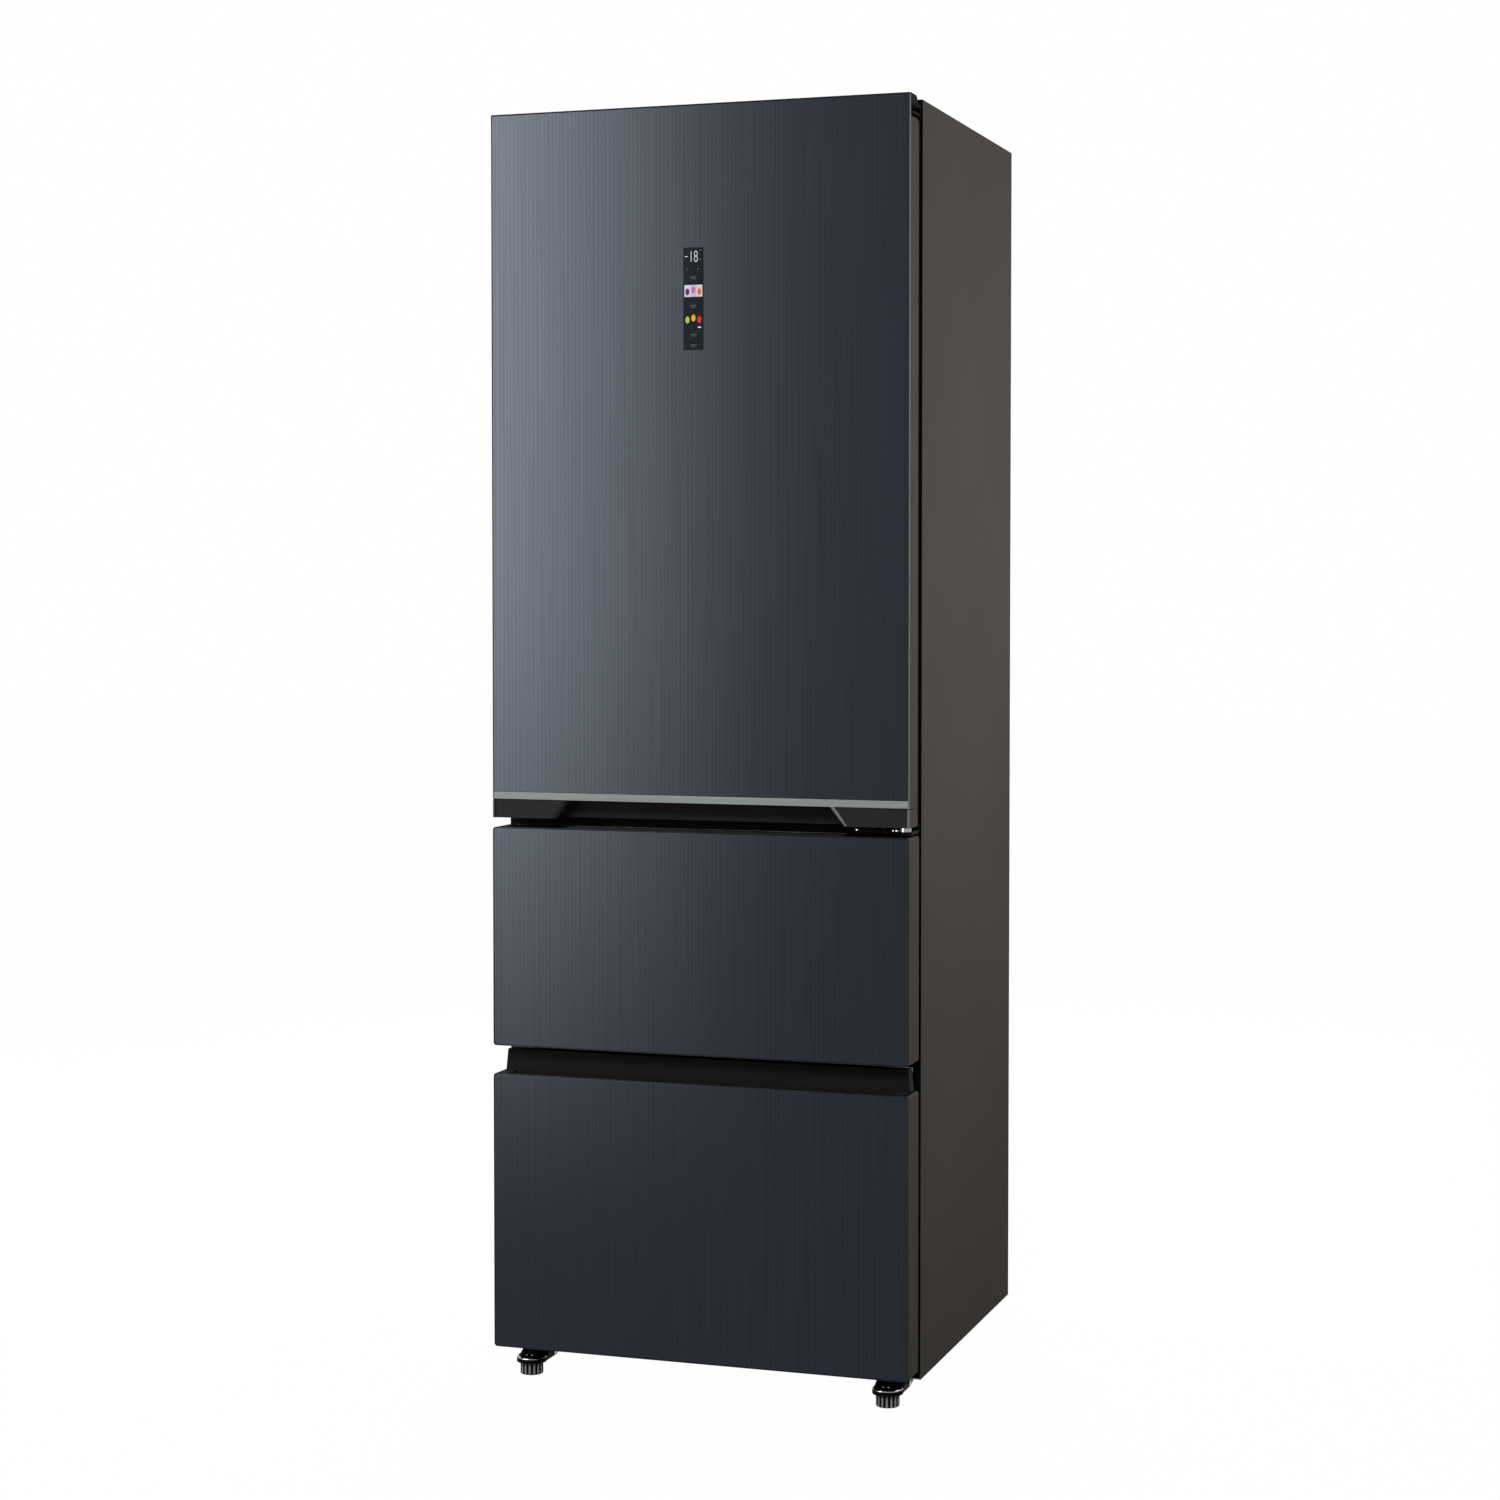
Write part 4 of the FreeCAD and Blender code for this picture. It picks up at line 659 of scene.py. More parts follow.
class FRIDGE_OT_cabinet(bpy.types.Operator):
    """Steel shell, front frame, base, machine cover and back"""
    bl_idname = "fridge.cabinet"
    bl_label = "Cabinet"

    def execute(self, context):
        rounded("cabinet_wrapper", 0.25 * MM)
        # The front frame gets near-black as painted shade of the gap around the fronts.
        rounded("front_frame", material=deep_black())
        rounded("machine_cover")
        rounded("base_pan")
        self.rear_panel()
        dress("insulation_foam")
        return {"FINISHED"}

    def rear_panel(self):
        """Sheet with three pressed fields and a row of flat screw heads down each side."""
        panel = merged_copy("rear_panel", "pressed")
        low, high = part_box("rear_panel")
        height = high.z - low.z
        pressing = sizes().pressing
        border, slope = 45.0 * MM, 4.0 * MM
        for share in (1 / 3, 2 / 3):
            slice_across(panel, "z", low.z + share * height)
        choose(panel, wanted_faces=lambda centre, normal: normal.y > FACING)
        bpy.ops.transform.translate(value=(0.0, -pressing, 0.0))
        bpy.ops.mesh.inset(thickness=border, depth=0.0, use_individual=True)
        bpy.ops.mesh.inset(thickness=slope, depth=pressing, use_individual=True)
        done()
        bpy.ops.object.shade_flat()
        stand_for(panel, "rear_panel")
        from_side, from_end, rows = 12.0 * MM, 30.0 * MM, 6
        heads = []
        for x in (low.x + from_side, high.x - from_side):
            for row in range(rows):
                z = low.z + from_end + row * (height - 2 * from_end) / (rows - 1)
                heads.append(disc("head", (x, high.y - pressing / 2, z), "y", 4.0 * MM, pressing, 20))
        fittings("rear_screws", heads, "rear_panel", "zinc_steel", finish_of("zinc_steel"), 0.15 * MM)


class FRIDGE_OT_glass_fronts(bpy.types.Operator):
    """Glass panels of the door and the two drawers"""
    bl_idname = "fridge.glass_fronts"
    bl_label = "Glass Fronts"

    def execute(self, context):
        for node in ("door_glass", "middle_glass", "lower_glass"):
            rounded(node, sizes().glass_edge, 3)
        return {"FINISHED"}


class FRIDGE_OT_door_surround(bpy.types.Operator):
    """Side profiles, caps and trim around the door's glass"""
    bl_idname = "fridge.door_surround"
    bl_label = "Door Surround"

    def execute(self, context):
        self.side_profiles()
        self.top_cap()
        rounded("door_trim_strip", 0.8 * MM)
        self.handle_cap()
        dress("door_foam", "display_board")
        return {"FINISHED"}

    def round_front(self, piece, low, high):
        """Round the upright outer edges at the front of a piece with these corners."""
        def front_corner(start, end):
            outside = min(abs(start.x), abs(end.x)) > high.x - NEAR
            return outside and max(start.y, end.y) < low.y + NEAR and abs(start.z - end.z) > MM
        bevel_edges(piece, front_corner, sizes().corner, 3)

    def side_profiles(self):
        """Profiles with a painted highlight on the front corner and an end seam, and the door edge behind
        them painted dark as shade.
        """
        profiles = merged_copy("door_side_profiles")
        low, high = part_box("door_side_profiles")
        rear = high.y - sizes().profile_step
        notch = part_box("door_hinge_bushes")[1].z
        seam_width, seam_depth, under_trim = 1.0 * MM, 0.5 * MM, 1.2 * MM
        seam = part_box("door_trim_strip")[0].z - under_trim
        slice_across(profiles, "y", rear, use_fill=True, clear_outer=True)

        def rear_corner(start, end):
            at_notch = max(abs(start.z - notch), abs(end.z - notch)) < NEAR
            return at_notch and min(start.y, end.y) > rear - NEAR
        self.round_front(profiles, low, high)
        bevel_edges(profiles, rear_corner, sizes().profile_corner, 6)
        groove(profiles, "z", seam, seam_width, seam_depth)
        round_edges(profiles, 0.2 * MM)
        stand_for(profiles, "door_side_profiles")
        # Painted highlight on the right front corner.
        paint_faces(profiles, edge_paint(), lambda centre, normal: centre.x > 0 and normal.y < -0.2
                    and centre.y < low.y + sizes().corner)
        # The seam groove is painted near-black: a dark joint line with painted shade in the groove.
        paint_faces(profiles, deep_black(), lambda centre, normal: abs(centre.z - seam) < 0.6 * seam_width)
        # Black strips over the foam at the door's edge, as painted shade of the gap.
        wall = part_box("door_foam")[1].x
        painted_shade_strips("door_edges", "door_foam", (wall, wall + STRIP), (rear, high.y), (low.z, notch))

    def top_cap(self):
        """Cap with a rounded upper rear edge, painted shade behind and under its ledge, and a painted
        highlight on its right front corner.
        """
        cap = merged_copy("door_top_cap")
        low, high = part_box("door_top_cap")
        rear = high.y - sizes().cap_step
        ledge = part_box("door_side_profiles")[1].z + 2.0 * MM
        beyond = 1.0
        self.cut_away(cap, (-beyond, rear, ledge), (beyond, beyond, high.z + MM))

        def upper_rear(start, end):
            return min(start.y, end.y) > rear - NEAR and min(start.z, end.z) > high.z - NEAR
        bevel_edges(cap, upper_rear, sizes().profile_corner, 6)
        self.round_front(cap, low, high)
        round_edges(cap, 0.3 * MM)
        stand_for(cap, "door_top_cap")
        # Painted shade on the part behind and under the ledge.
        paint_faces(cap, deep_black(), lambda centre, normal: centre.y > rear + MM
                    or centre.z < ledge - 3.0 * MM)
        # Painted highlight on the right front corner.
        paint_faces(cap, edge_paint(), lambda centre, normal: normal.y < -0.2
                    and centre.x > high.x - sizes().corner - 0.2 * MM)

    def cut_away(self, piece, low, high):
        """Take the room between two corners out of a piece."""
        cutter = block("cutter", low, high)
        modified(piece, "BOOLEAN", object=cutter)
        only(cutter)
        bpy.ops.object.delete()

    def handle_cap(self):
        """Handle moulding with broad chamfers beside its recess, the chamfers that face front and left given
        a lighter metal finish as painted highlight.
        """
        cap = merged_copy("door_handle_cap")
        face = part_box("door_handle_cap")[0].y

        def slanted(start, end):
            on_face = abs(start.y - face) < NEAR and abs(end.y - face) < NEAR
            return on_face and abs(start.x - end.x) > MM and abs(start.z - end.z) > MM
        bevel_edges(cap, slanted, sizes().cheek_chamfer, 1)
        round_edges(cap, sizes().edge)
        stand_for(cap, "door_handle_cap")
        # Painted highlight: chamfer faces turned towards the light get a lighter metal finish.
        bright = kept("cheek_edge", brushed_metal, (0.24, 0.24, 0.24), 0.4, (300.0, 300.0, 20.0))
        paint_faces(cap, bright, lambda centre, normal: normal.x < -0.3 and normal.y < -0.3)


class FRIDGE_OT_display(bpy.types.Operator):
    """Dark display window with lit figures and plain marks"""
    bl_idname = "fridge.display"
    bl_label = "Display"

    def execute(self, context):
        low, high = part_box("display_board")
        self.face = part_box("door_glass")[0].y
        self.left = (low.x + high.x) / 2 - sizes().display_width / 2 - sizes().display_shift
        self.top = (low.z + high.z) / 2 + sizes().display_height / 2 + sizes().display_lift
        width, height = sizes().display_width / MM, sizes().display_height / MM
        window = self.plate("display_window", (0.0, width), (0.0, height), 0)
        self.show(window, kept("display_glass", display_glass))
        white = kept("display_white", lit, colours().symbols, DISPLAY_GLOW)
        self.show(self.figures("display_figures", "18", (10.7, 20.5), (4.6, 19.2)), white)
        minus = self.plate("minus", (2.2, 6.0), (11.4, 12.4), 1)
        corner = self.plate("corner_mark", (20.6, 25.0), (105.8, 107.4), 1)
        self.show(joined("display_signs", [minus, corner]), white)
        self.marks()
        self.tile("display_pale_tile", (50.0, 65.8),
                  ((0.58, 0.70, 0.74), (0.52, 0.52, 0.74), (0.66, 0.64, 0.66)),
                  ((0.16, 0.03, 0.16), (0.60, 0.16, 0.28), (0.68, 0.16, 0.05)))
        self.tile("display_dark_tile", (87.3, 103.4),
                  ((0.020, 0.022, 0.024), (0.020, 0.020, 0.022), (0.026, 0.022, 0.022)),
                  ((0.42, 0.58, 0.10), (0.80, 0.42, 0.04), (0.62, 0.05, 0.04)))
        return {"FINISHED"}

    def marks(self):
        """Dim units, arrows and pairs of lines."""
        marks = []
        for v in (3.2, 15.8):
            marks.append(self.plate("unit", (22.6, 24.6), (v, v + 1.6), 1))
        for u, turn in ((6.0, 0.0), (21.0, math.pi)):
            marks.append(self.arrow("arrow", u, 28.7, turn))
        left, right, thickness, pitch = 10.0, 18.6, 0.9, 2.2
        for v in (39.0, 77.0, 115.4, 129.4):
            for start, inset in ((v, 0.0), (v + pitch, 1.6)):
                marks.append(self.plate("line", (left + inset, right - inset), (start, start + thickness), 1))
        dim = kept("display_dim", lit, shaded(colours().symbols, 0.16), DISPLAY_GLOW)
        self.show(joined("display_marks", marks), dim)

    def plate(self, name, u, v, layer):
        """Thin plate with a soft edge, placed by millimetres from the window's left and top."""
        back = self.face - layer * sizes().film
        low = (self.left + u[0] * MM, back - sizes().film, self.top - v[1] * MM)
        high = (self.left + u[1] * MM, back, self.top - v[0] * MM)
        return self.soften(block(name, low, high), min(u[1] - u[0], v[1] - v[0]) * MM / 8)

    def soften(self, piece, width):
        """Draw in the front face of a thin plate, so that its edge slopes."""
        front = min(vertex.co.y for vertex in piece.data.vertices)
        choose(piece, wanted_faces=lambda centre, normal: centre.y < front + NEAR / 100
               and normal.y < -FACING)
        bpy.ops.mesh.inset(thickness=width, depth=0.0)
        bpy.ops.transform.translate(value=(0.0, -0.2 * sizes().film, 0.0))
        done()
        return piece

    def arrow(self, name, u, v, turn):
        """Small triangle that points up, or down when it is turned."""
        place = (self.left + u * MM, self.face - 1.5 * sizes().film, self.top - v * MM)
        deselect()
        bpy.ops.mesh.primitive_cylinder_add(vertices=3, radius=1.5 * MM, depth=sizes().film, location=place,
                                            rotation=(math.pi / 2, turn, 0.0))
        return self.soften(apply_place(active_as(name)), 0.2 * MM)

    def figures(self, name, words, u, v):
        """Lit figures that fill a rectangle of the window."""
        deselect()
        bpy.ops.object.text_add(rotation=(math.pi / 2, 0.0, 0.0))
        text = bpy.context.active_object.data
        text.body = words
        text.extrude = 0.5
        text.offset = -0.022
        bpy.ops.object.convert(target="MESH")
        piece = apply_place(active_as(name))
        places = list(zip(*[vertex.co for vertex in piece.data.vertices]))
        low = Vector([min(along) for along in places])
        span = Vector([max(along) for along in places]) - low
        piece.scale = ((u[1] - u[0]) * MM / span.x, sizes().film / span.y, (v[1] - v[0]) * MM / span.z)
        corner = Vector((self.left + u[0] * MM, self.face - 2 * sizes().film, self.top - v[1] * MM))
        piece.location = corner - Vector([low[axis] * piece.scale[axis] for axis in range(3)])
        return apply_place(piece)

    def tile(self, name, v, grounds, spots):
        """Row of plain cells, each with one coloured oval a little over or under the middle."""
        border, width, off_middle, radius, stretch = 1.6, 25.4, 1.2, 2.9, 1.6
        cell = width / len(spots)
        for index, (ground, spot) in enumerate(zip(grounds, spots)):
            label = "%s_%d" % (name, index)
            left = border + index * cell
            plate = self.plate(label, (left, left + cell), v, 1)
            self.show(plate, kept(label, lit, ground, DISPLAY_GLOW))
            rise = (v[0] + v[1]) / 2 + off_middle * (1 - index % 2 * 2)
            place = (self.left + (left + cell / 2) * MM, self.face - 2.7 * sizes().film, self.top - rise * MM)
            label += "_oval"
            oval = self.soften(disc(label, place, "y", radius * MM, sizes().film), 0.4 * MM)
            editing(oval, "SELECT")
            bpy.ops.transform.resize(value=(1.0, 1.0, stretch), center_override=place)
            done()
            self.show(oval, kept(label, lit, spot, DISPLAY_GLOW))

    def show(self, piece, material):
        """Let a printed layer ride with the door's glass."""
        detail(piece, BODY_OF["door_glass"], SLOT_OF["door_glass"], material)


class FRIDGE_OT_drawer_fronts(bpy.types.Operator):
    """Surrounds, inner panels and the grip of the drawer fronts"""
    bl_idname = "fridge.drawer_fronts"
    bl_label = "Drawer Fronts"

    def execute(self, context):
        for drawer in ("middle", "lower"):
            self.surround(drawer)
            rounded(drawer + "_inner_panel")
            core = drawer + "_front_foam"
            dress(core)
            low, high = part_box(core)
            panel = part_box(drawer + "_inner_panel")[1].x
            # Black strips over the foam at the drawer's edges, as painted shade of the gap.
            painted_shade_strips(drawer + "_front_edges", core, (panel, high.x), (high.y, high.y + STRIP),
                        (low.z, high.z))
        grip = kept("grip_moulding", dark_moulding, colours().grip, 0.55, 0.02)
        rounded("lower_grip_profile", 0.8 * MM, material=grip)
        return {"FINISHED"}

    def surround(self, drawer):
        """Frame with painted sides, a black top made near-black as painted shade of the gap over it, and the
        finish of the glass over and under it.
        """
        low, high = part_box(drawer + "_glass")
        piece = rounded(drawer + "_front_frame")
        paint_faces(piece, finish_of("graphite_steel"), lambda centre, normal: abs(normal.x) > 0.3)
        # Top faces: black plastic, made near-black as painted shade of the gap over them.
        paint_faces(piece, deep_black(), lambda centre, normal: normal.z > FACING)
        paint_faces(piece, finish_of("front_glass"), lambda centre, normal: normal.y < -FACING
                    and not low.z < centre.z < high.z)


class FRIDGE_OT_seals(bpy.types.Operator):
    """Rubber seals of the door and the drawers"""
    bl_idname = "fridge.seals"
    bl_label = "Seals"

    def execute(self, context):
        for front in ("door", "middle", "lower"):
            grooved(front + "_gasket", "y", (0.5,), 2.5 * MM, 1.5 * MM, 0.6 * MM)
        return {"FINISHED"}


class FRIDGE_OT_interior(bpy.types.Operator):
    """Liners, shelves, air duct and lamp"""
    bl_idname = "fridge.interior"
    bl_label = "Interior"

    def execute(self, context):
        for node in ("fridge_liner", "middle_liner", "lower_liner"):
            rounded(node, 0.6 * MM)
        for node in ("door_inner_liner", "air_duct_cover", "fridge_lamp", "shelf_trims"):
            rounded(node, sizes().soft_edge)
        rounded("shelf_glasses", sizes().glass_edge)
        rounded("evaporator_cover")
        return {"FINISHED"}


class FRIDGE_OT_containers(bpy.types.Operator):
    """Door bins, crisper and drawer baskets"""
    bl_idname = "fridge.containers"
    bl_label = "Containers"

    def execute(self, context):
        rounded("door_bins", sizes().soft_edge)
        for node in ("crisper", "middle_basket", "lower_basket"):
            grooved(node, "z", (0.3, 0.45), 4.0 * MM, 0.4 * MM, sizes().edge)
        return {"FINISHED"}


class FRIDGE_OT_rails(bpy.types.Operator):
    """Telescopic rails of the drawers"""
    bl_idname = "fridge.rails"
    bl_label = "Rails"

    def execute(self, context):
        rounded("drawer_fixed_rails", 0.4 * MM)
        for drawer in ("middle", "lower"):
            rounded(drawer + "_slide_rails", 0.4 * MM)
            rounded(drawer + "_moving_rails")
        return {"FINISHED"}


class FRIDGE_OT_hinges(bpy.types.Operator):
    """Hinge leaves, pins, bushes and screws"""
    bl_idname = "fridge.hinges"
    bl_label = "Hinges"

    def execute(self, context):
        # The top hinge gets near-black as painted shade in the cap's notch.
        rounded("top_hinge", material=deep_black())
        self.arm_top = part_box("middle_hinge")[0].z + 4.0 * MM
        self.plate_pin(rounded("middle_hinge"))
        self.studs()
        rounded("hinge_screws", 0.9 * MM, 3)
        dress("door_hinge_bushes")
        return {"FINISHED"}

    def plate_pin(self, hinge):
        """Give the pin and its collar a dark plated finish."""
        bush_low, bush_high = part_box("door_hinge_bushes")
        axis = (bush_low + bush_high) / 2
        reach = 1.5 * (bush_high.x - axis.x)
        paint_faces(hinge, dark_chrome(), lambda centre, normal: centre.z > self.arm_top + NEAR
                    and (centre - axis).xy.length < reach)

    def studs(self):
        """Small bright stop studs on the middle hinge's arm."""
        low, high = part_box("middle_hinge")
        height, from_front = 2.4 * MM, 6.5 * MM
        studs = []
        for reach, radius in ((25.4, 1.3), (20.4, 2.2), (75.5, 2.0)):
            place = (high.x - reach * MM, low.y + from_front, self.arm_top + height / 2)
            studs.append(disc("stud", place, "z", radius * MM, height, 24))
        fittings("middle_hinge_studs", studs, "middle_hinge", "zinc_steel", polished_steel(), 0.6 * MM, 3)


class FRIDGE_OT_feet(bpy.types.Operator):
    """Levelling feet, their brackets and the rear rollers"""
    bl_idname = "fridge.feet"
    bl_label = "Feet and Rollers"

    def execute(self, context):
        for side in ("left", "right"):
            self.foot(side)
            rounded("rear_roller_" + side, sizes().soft_edge)
        rounded("foot_brackets", 1.2 * MM, 3)
        rounded("roller_axles")
        return {"FINISHED"}

    def foot(self, side):
        """Ribbed knob and threaded stem, and what the bracket carries beside them."""
        node = "front_foot_" + side
        low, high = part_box(node)
        axis = (low + high) / 2
        radius = (high.x - low.x) / 2
        bracket_low, bracket_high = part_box("foot_brackets")
        base = Vector((axis.x, axis.y, bracket_low.z))
        knob = merged_copy(node, "knob")
        slice_across(knob, "z", base.z + MM, use_fill=True, clear_outer=True)
        round_edges(knob, 0.35 * MM)
        stand_for(knob, node)
        # Painted shade in the knob's grooves.
        paint_faces(knob, deep_black(), lambda centre, normal: abs(normal.z) < FACING
                    and (centre - axis).xy.length < radius - 0.3 * MM)
        stem = self.stem(node + "_stem", axis, base.z + 0.8 * MM, high.z)
        detail(stem, BODY_OF[node], "black_steel", finish_of("black_steel"))
        body = BODY_OF["foot_brackets"]
        dish = self.dish("foot_dish_" + side, axis, base.z)
        detail(dish, body, "black_steel", dark_chrome())
        # Painted shade on the dish's top and upright wall, so that only the rolled edge keeps the chrome and
        # its highlight.
        paint_faces(dish, deep_black(), lambda centre, normal: not 0.3 < normal.z < 0.95)
        half, front, back, lift = 17.4 * MM, 22.0 * MM, 25.0 * MM, 4.0 * MM
        web = block("foot_web_" + side, (base.x - half, base.y + front, base.z + lift),
                    (base.x + half, base.y + back, bracket_high.z - NEAR))
        round_edges(web, 0.6 * MM)
        detail(web, body, "black_steel", finish_of("black_steel"))
        pegs, bolts = [], []
        for sign in (-1, 1):
            at_peg = base + MM * Vector((sign * 3.8, -9.0, 9.6))
            pegs.append(disc("peg", at_peg, "z", 1.3 * MM, 2.0 * MM, 16))
            at_bolt = base + MM * Vector((sign * 21.6, 33.0, 7.0))
            bolts.append(disc("bolt", at_bolt, "x", 4.0 * MM, 2.4 * MM, 24))
        fittings("foot_pegs_" + side, pegs, "foot_brackets", "zinc_steel", polished_steel(), 0.6 * MM, 3)
        fittings("foot_bolts_" + side, bolts, "foot_brackets", "black_steel", dark_chrome(), 0.8 * MM, 3)

    def stem(self, name, axis, bottom, top):
        """Round bar with a thread, drawn up ring by ring."""
        pitch, radius, root = 1.5 * MM, 4.9 * MM, 0.86
        stem = disc(name, (axis.x, axis.y, bottom + pitch / 2), "z", radius, pitch, 24)
        choose(stem, wanted_faces=lambda centre, normal: normal.z > FACING)
        for turn in range(int((top - bottom - pitch) / pitch)):
            for share in (root, 1.0 / root):
                bpy.ops.mesh.extrude_region_move(TRANSFORM_OT_translate={"value": (0.0, 0.0, pitch / 2)})
                bpy.ops.transform.resize(value=(share, share, 1.0), center_override=(axis.x, axis.y, 0.0))
        done()
        smooth(stem)
        return stem

    def dish(self, name, axis, bottom):
        """Round cap over the bracket's nose, with a rolled edge and a hole for the stem."""
        outer, hole, height, roll = 21.0 * MM, 5.8 * MM, 9.0 * MM, 4.0 * MM
        top = bottom + height - NEAR
        dish = disc(name, (axis.x, axis.y, top - height / 2), "z", outer, height, 64)
        choose(dish, wanted_faces=lambda centre, normal: abs(normal.z) > FACING)
        bpy.ops.mesh.inset(thickness=outer - hole, depth=0.0, use_individual=True)
        bpy.ops.mesh.bridge_edge_loops()
        done()

        def upper_rim(start, end):
            around = min((start - axis).xy.length, (end - axis).xy.length)
            return around > outer - NEAR and min(start.z, end.z) > top - NEAR
        bevel_edges(dish, upper_rim, roll, 6)
        round_edges(dish, 0.4 * MM)
        return dish


class FRIDGE_OT_machinery(bpy.types.Operator):
    """Cooler, fan, compressor and what stands beside it"""
    bl_idname = "fridge.machinery"
    bl_label = "Machinery"

    def execute(self, context):
        dress("evaporator", "fan_motor", "evaporator_fan", "compressor", "compressor_grommets", "drip_tray",
              "control_box")
        return {"FINISHED"}


# Stage


class FRIDGE_OT_stage(bpy.types.Operator):
    """Floor, light card, lamps, background and camera"""
    bl_idname = "fridge.stage"
    bl_label = "Stage"

    def execute(self, context):
        self.floor()
        self.card()
        self.lamps()
        self.background(context.scene)
        self.camera(context.scene)
        context.scene.view_settings.view_transform = "Standard"
        return {"FINISHED"}

    def seen_directly(self, owner):
        """1 for rays that show the background itself, in the picture, in metal or through glass."""
        rays = add_node(owner, "ShaderNodeLightPath").outputs
        either = maths(owner, "MAXIMUM", rays["Is Camera Ray"], rays["Is Glossy Ray"])
        return maths(owner, "MAXIMUM", either, rays["Is Transmission Ray"])

    def floor(self):
        """Pale floor that is nearly as bright as the background and keeps a faint shadow."""
        deselect()
        bpy.ops.mesh.primitive_plane_add(size=40.0, location=(0.0, 0.0, -0.5 * MM))
        ground = active_as("floor")
        material = finish("pale_floor", (0.35, 0.35, 0.35), 0.9, Specular_IOR_Level=0.0)
        glow = add_node(material, "ShaderNodeEmission", Strength=1.02)
        share = maths(material, "MULTIPLY", self.seen_directly(material), 0.97)
        surface = shader_of(material).outputs["BSDF"]
        shine(material, add_node(material, "ShaderNodeMixShader", share, surface, glow.outputs["Emission"]))
        set_material(ground, material)

    def card(self):
        """Upright glowing card that only metal and glass show, fading downwards and to the right."""
        left, right, top, depth = -1.6, -0.35, 2.5, -1.43
        deselect()
        bpy.ops.mesh.primitive_plane_add(size=1.0, location=((left + right) / 2, depth, top / 2),
                                         rotation=(math.pi / 2, 0.0, 0.0))
        card = active_as("light_card")
        card.scale = (right - left, top, 1.0)
        for kind in ("camera", "diffuse", "transmission", "shadow"):
            setattr(card, "visible_" + kind, False)
        material = bpy.data.materials.new("light_card")
        material.use_nodes = True
        place = add_node(material, "ShaderNodeTexCoord")
        along = add_node(material, "ShaderNodeSeparateXYZ", place.outputs["Object"]).outputs
        across = self.fade(material, along["X"], ((0.67, 1.0), (0.706, 0.683), (1.0, 0.0)))
        upward = self.fade(material, along["Y"], ((0.0, 0.0), (0.43, 0.861), (1.0, 1.0)))
        level = maths(material, "MULTIPLY", across, upward)
        strength = maths(material, "MULTIPLY_ADD", level, studio().card_glow, 1.0)
        shine(material, add_node(material, "ShaderNodeEmission", (1.0, 0.957, 0.845, 1.0), strength))
        set_material(card, material)

    def fade(self, material, place, stops):
        """Level between stops along a card whose own coordinates run from -0.5 to 0.5."""
        ramp = add_node(material, "ShaderNodeValToRGB", maths(material, "ADD", place, 0.5))
        elements = ramp.color_ramp.elements
        while len(elements) < len(stops):
            elements.new(0.5)
        for element, (at, level) in zip(elements, stops):
            element.position = at
            element.color = (level, level, level, 1.0)
        return ramp.outputs["Color"]

    def lamp(self, name, place, target, size, power):
        """Large soft lamp that faces a target and stays out of the picture."""
        data = bpy.data.lights.new(name, "AREA")
        data.shape = "RECTANGLE"
        data.size, data.size_y = size
        data.energy = power
        data.color = (1.0, 0.97, 0.93)
        lamp = bpy.data.objects.new(name, data)
        bpy.context.scene.collection.objects.link(lamp)
        lamp.visible_camera = False
        lamp.location = place
        lamp.rotation_euler = (Vector(target) - Vector(place)).to_track_quat("-Z", "Y").to_euler()
        return lamp

    def lamps(self):
        """Three lamps that metal doesn't show, and one beside the cabinet that it does."""
        powers = studio()
        unseen = (
            ("front_lamp", (0.4, -3.4, 2.7), (0.0, -0.28, 0.9), (1.6, 1.0), powers.front_power),
            ("left_lamp", (-2.9, 0.3, 1.6), (-0.3, 0.1, 0.9), (1.6, 1.6), powers.left_power),
            ("rear_lamp", (-0.6, 3.2, 2.8), (0.0, 0.28, 1.0), (1.8, 1.8), powers.rear_power),
        )
        for values in unseen:
            self.lamp(*values).visible_glossy = False
        self.lamp("side_lamp", (1.5, 0.1, 1.32), (0.3, 0.03, 1.3), (0.7, 0.7), powers.side_power)

    def background(self, scene):
        """White where it is seen, and a low even light elsewhere."""
        world = bpy.data.worlds.new("studio")
        scene.world = world
        world.use_nodes = True
        level = add_node(world, "ShaderNodeMapRange", self.seen_directly(world), To_Min=studio().fill,
                         To_Max=1.0)
        feed(world, world.node_tree.nodes["Background"], (1.0, 1.0, 1.0, 1.0), level.outputs["Result"])

    def camera(self, scene):
        """Camera that gives the photograph's view and framing."""
        tilt, turn = 2.0108, 18.5771
        data = bpy.data.cameras.new("camera")
        data.sensor_width = 36.0
        data.lens = 70.046
        data.shift_y = -0.04
        data.clip_end = 200.0
        camera = bpy.data.objects.new("camera", data)
        scene.collection.objects.link(camera)
        camera.location = (1.3180, -3.9749, 1.0957)
        camera.rotation_euler = (math.radians(90.0 - tilt), 0.0, math.radians(turn))
        scene.camera = camera


# Panel and registration

OPERATORS = (
    FRIDGE_OT_cabinet,
    FRIDGE_OT_glass_fronts,
    FRIDGE_OT_door_surround,
    FRIDGE_OT_display,
    FRIDGE_OT_drawer_fronts,
    FRIDGE_OT_seals,
    FRIDGE_OT_interior,
    FRIDGE_OT_containers,
    FRIDGE_OT_rails,
    FRIDGE_OT_hinges,
    FRIDGE_OT_feet,
    FRIDGE_OT_machinery,
    FRIDGE_OT_stage,
)


class FRIDGE_PT_finish(bpy.types.Panel):
    """Settings and steps that dress the fridge freezer"""
    bl_label = "Fridge Freezer"
    bl_idname = "FRIDGE_PT_finish"
    bl_space_type = "VIEW_3D"
    bl_region_type = "UI"
    bl_category = "Fridge Freezer"

    def draw(self, context):
        for group in ("fridge_colours", "fridge_sizes", "fridge_studio"):
            settings = getattr(context.scene, group)
            box = self.layout.box()
            for name in settings.__annotations__:
                box.prop(settings, name)
        for operator in OPERATORS:
            self.layout.operator(operator.bl_idname)


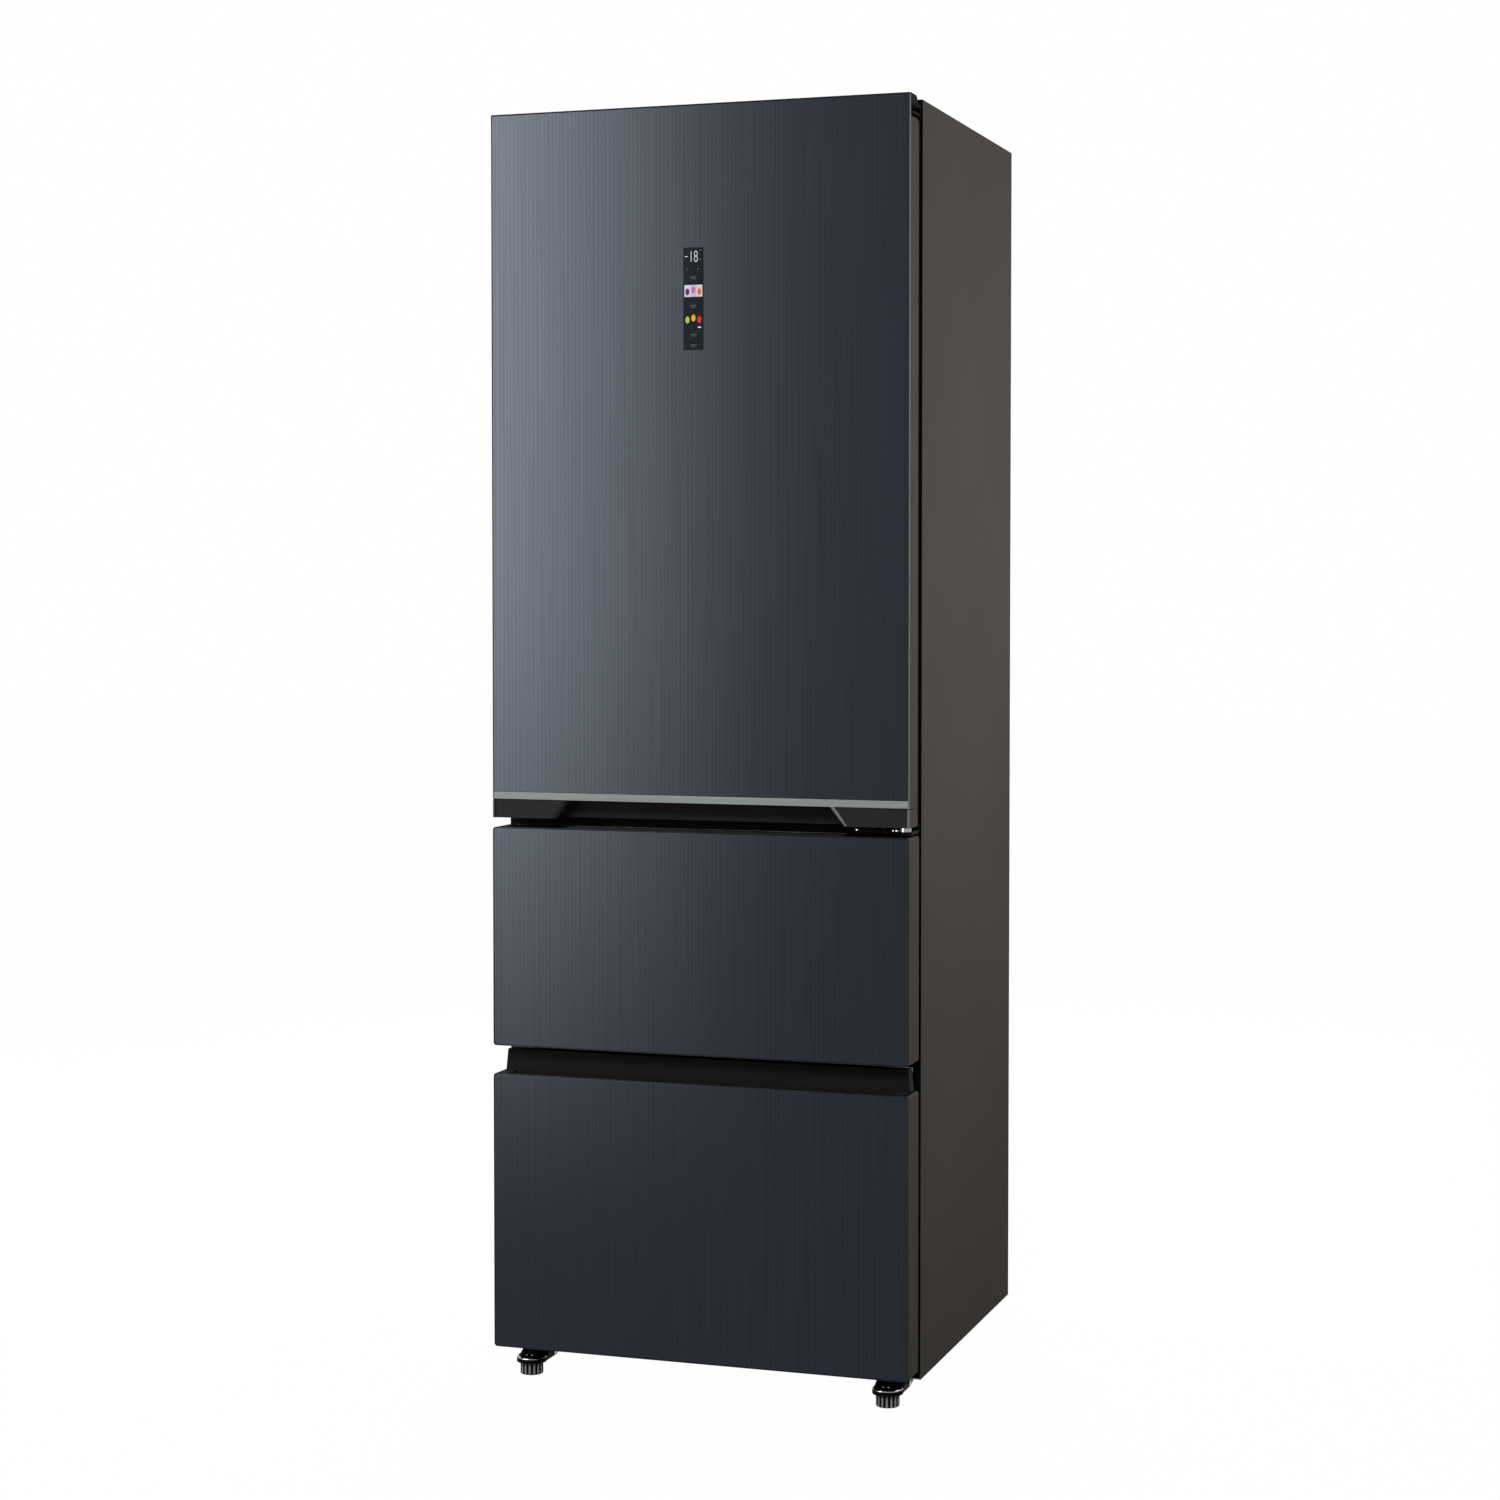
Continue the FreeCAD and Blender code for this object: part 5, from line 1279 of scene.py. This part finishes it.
CLASSES = (FridgeColours, FridgeSizes, FridgeStudio) + OPERATORS + (FRIDGE_PT_finish,)


def register():
    for cls in CLASSES:
        bpy.utils.register_class(cls)
    bpy.types.Scene.fridge_colours = PointerProperty(type=FridgeColours)
    bpy.types.Scene.fridge_sizes = PointerProperty(type=FridgeSizes)
    bpy.types.Scene.fridge_studio = PointerProperty(type=FridgeStudio)


def unregister():
    del bpy.types.Scene.fridge_studio
    del bpy.types.Scene.fridge_sizes
    del bpy.types.Scene.fridge_colours
    for cls in reversed(CLASSES):
        bpy.utils.unregister_class(cls)


def main():
    register()
    for operator in OPERATORS:
        group, step = operator.bl_idname.split(".")
        getattr(getattr(bpy.ops, group), step)()


if __name__ == "__main__":
    main()
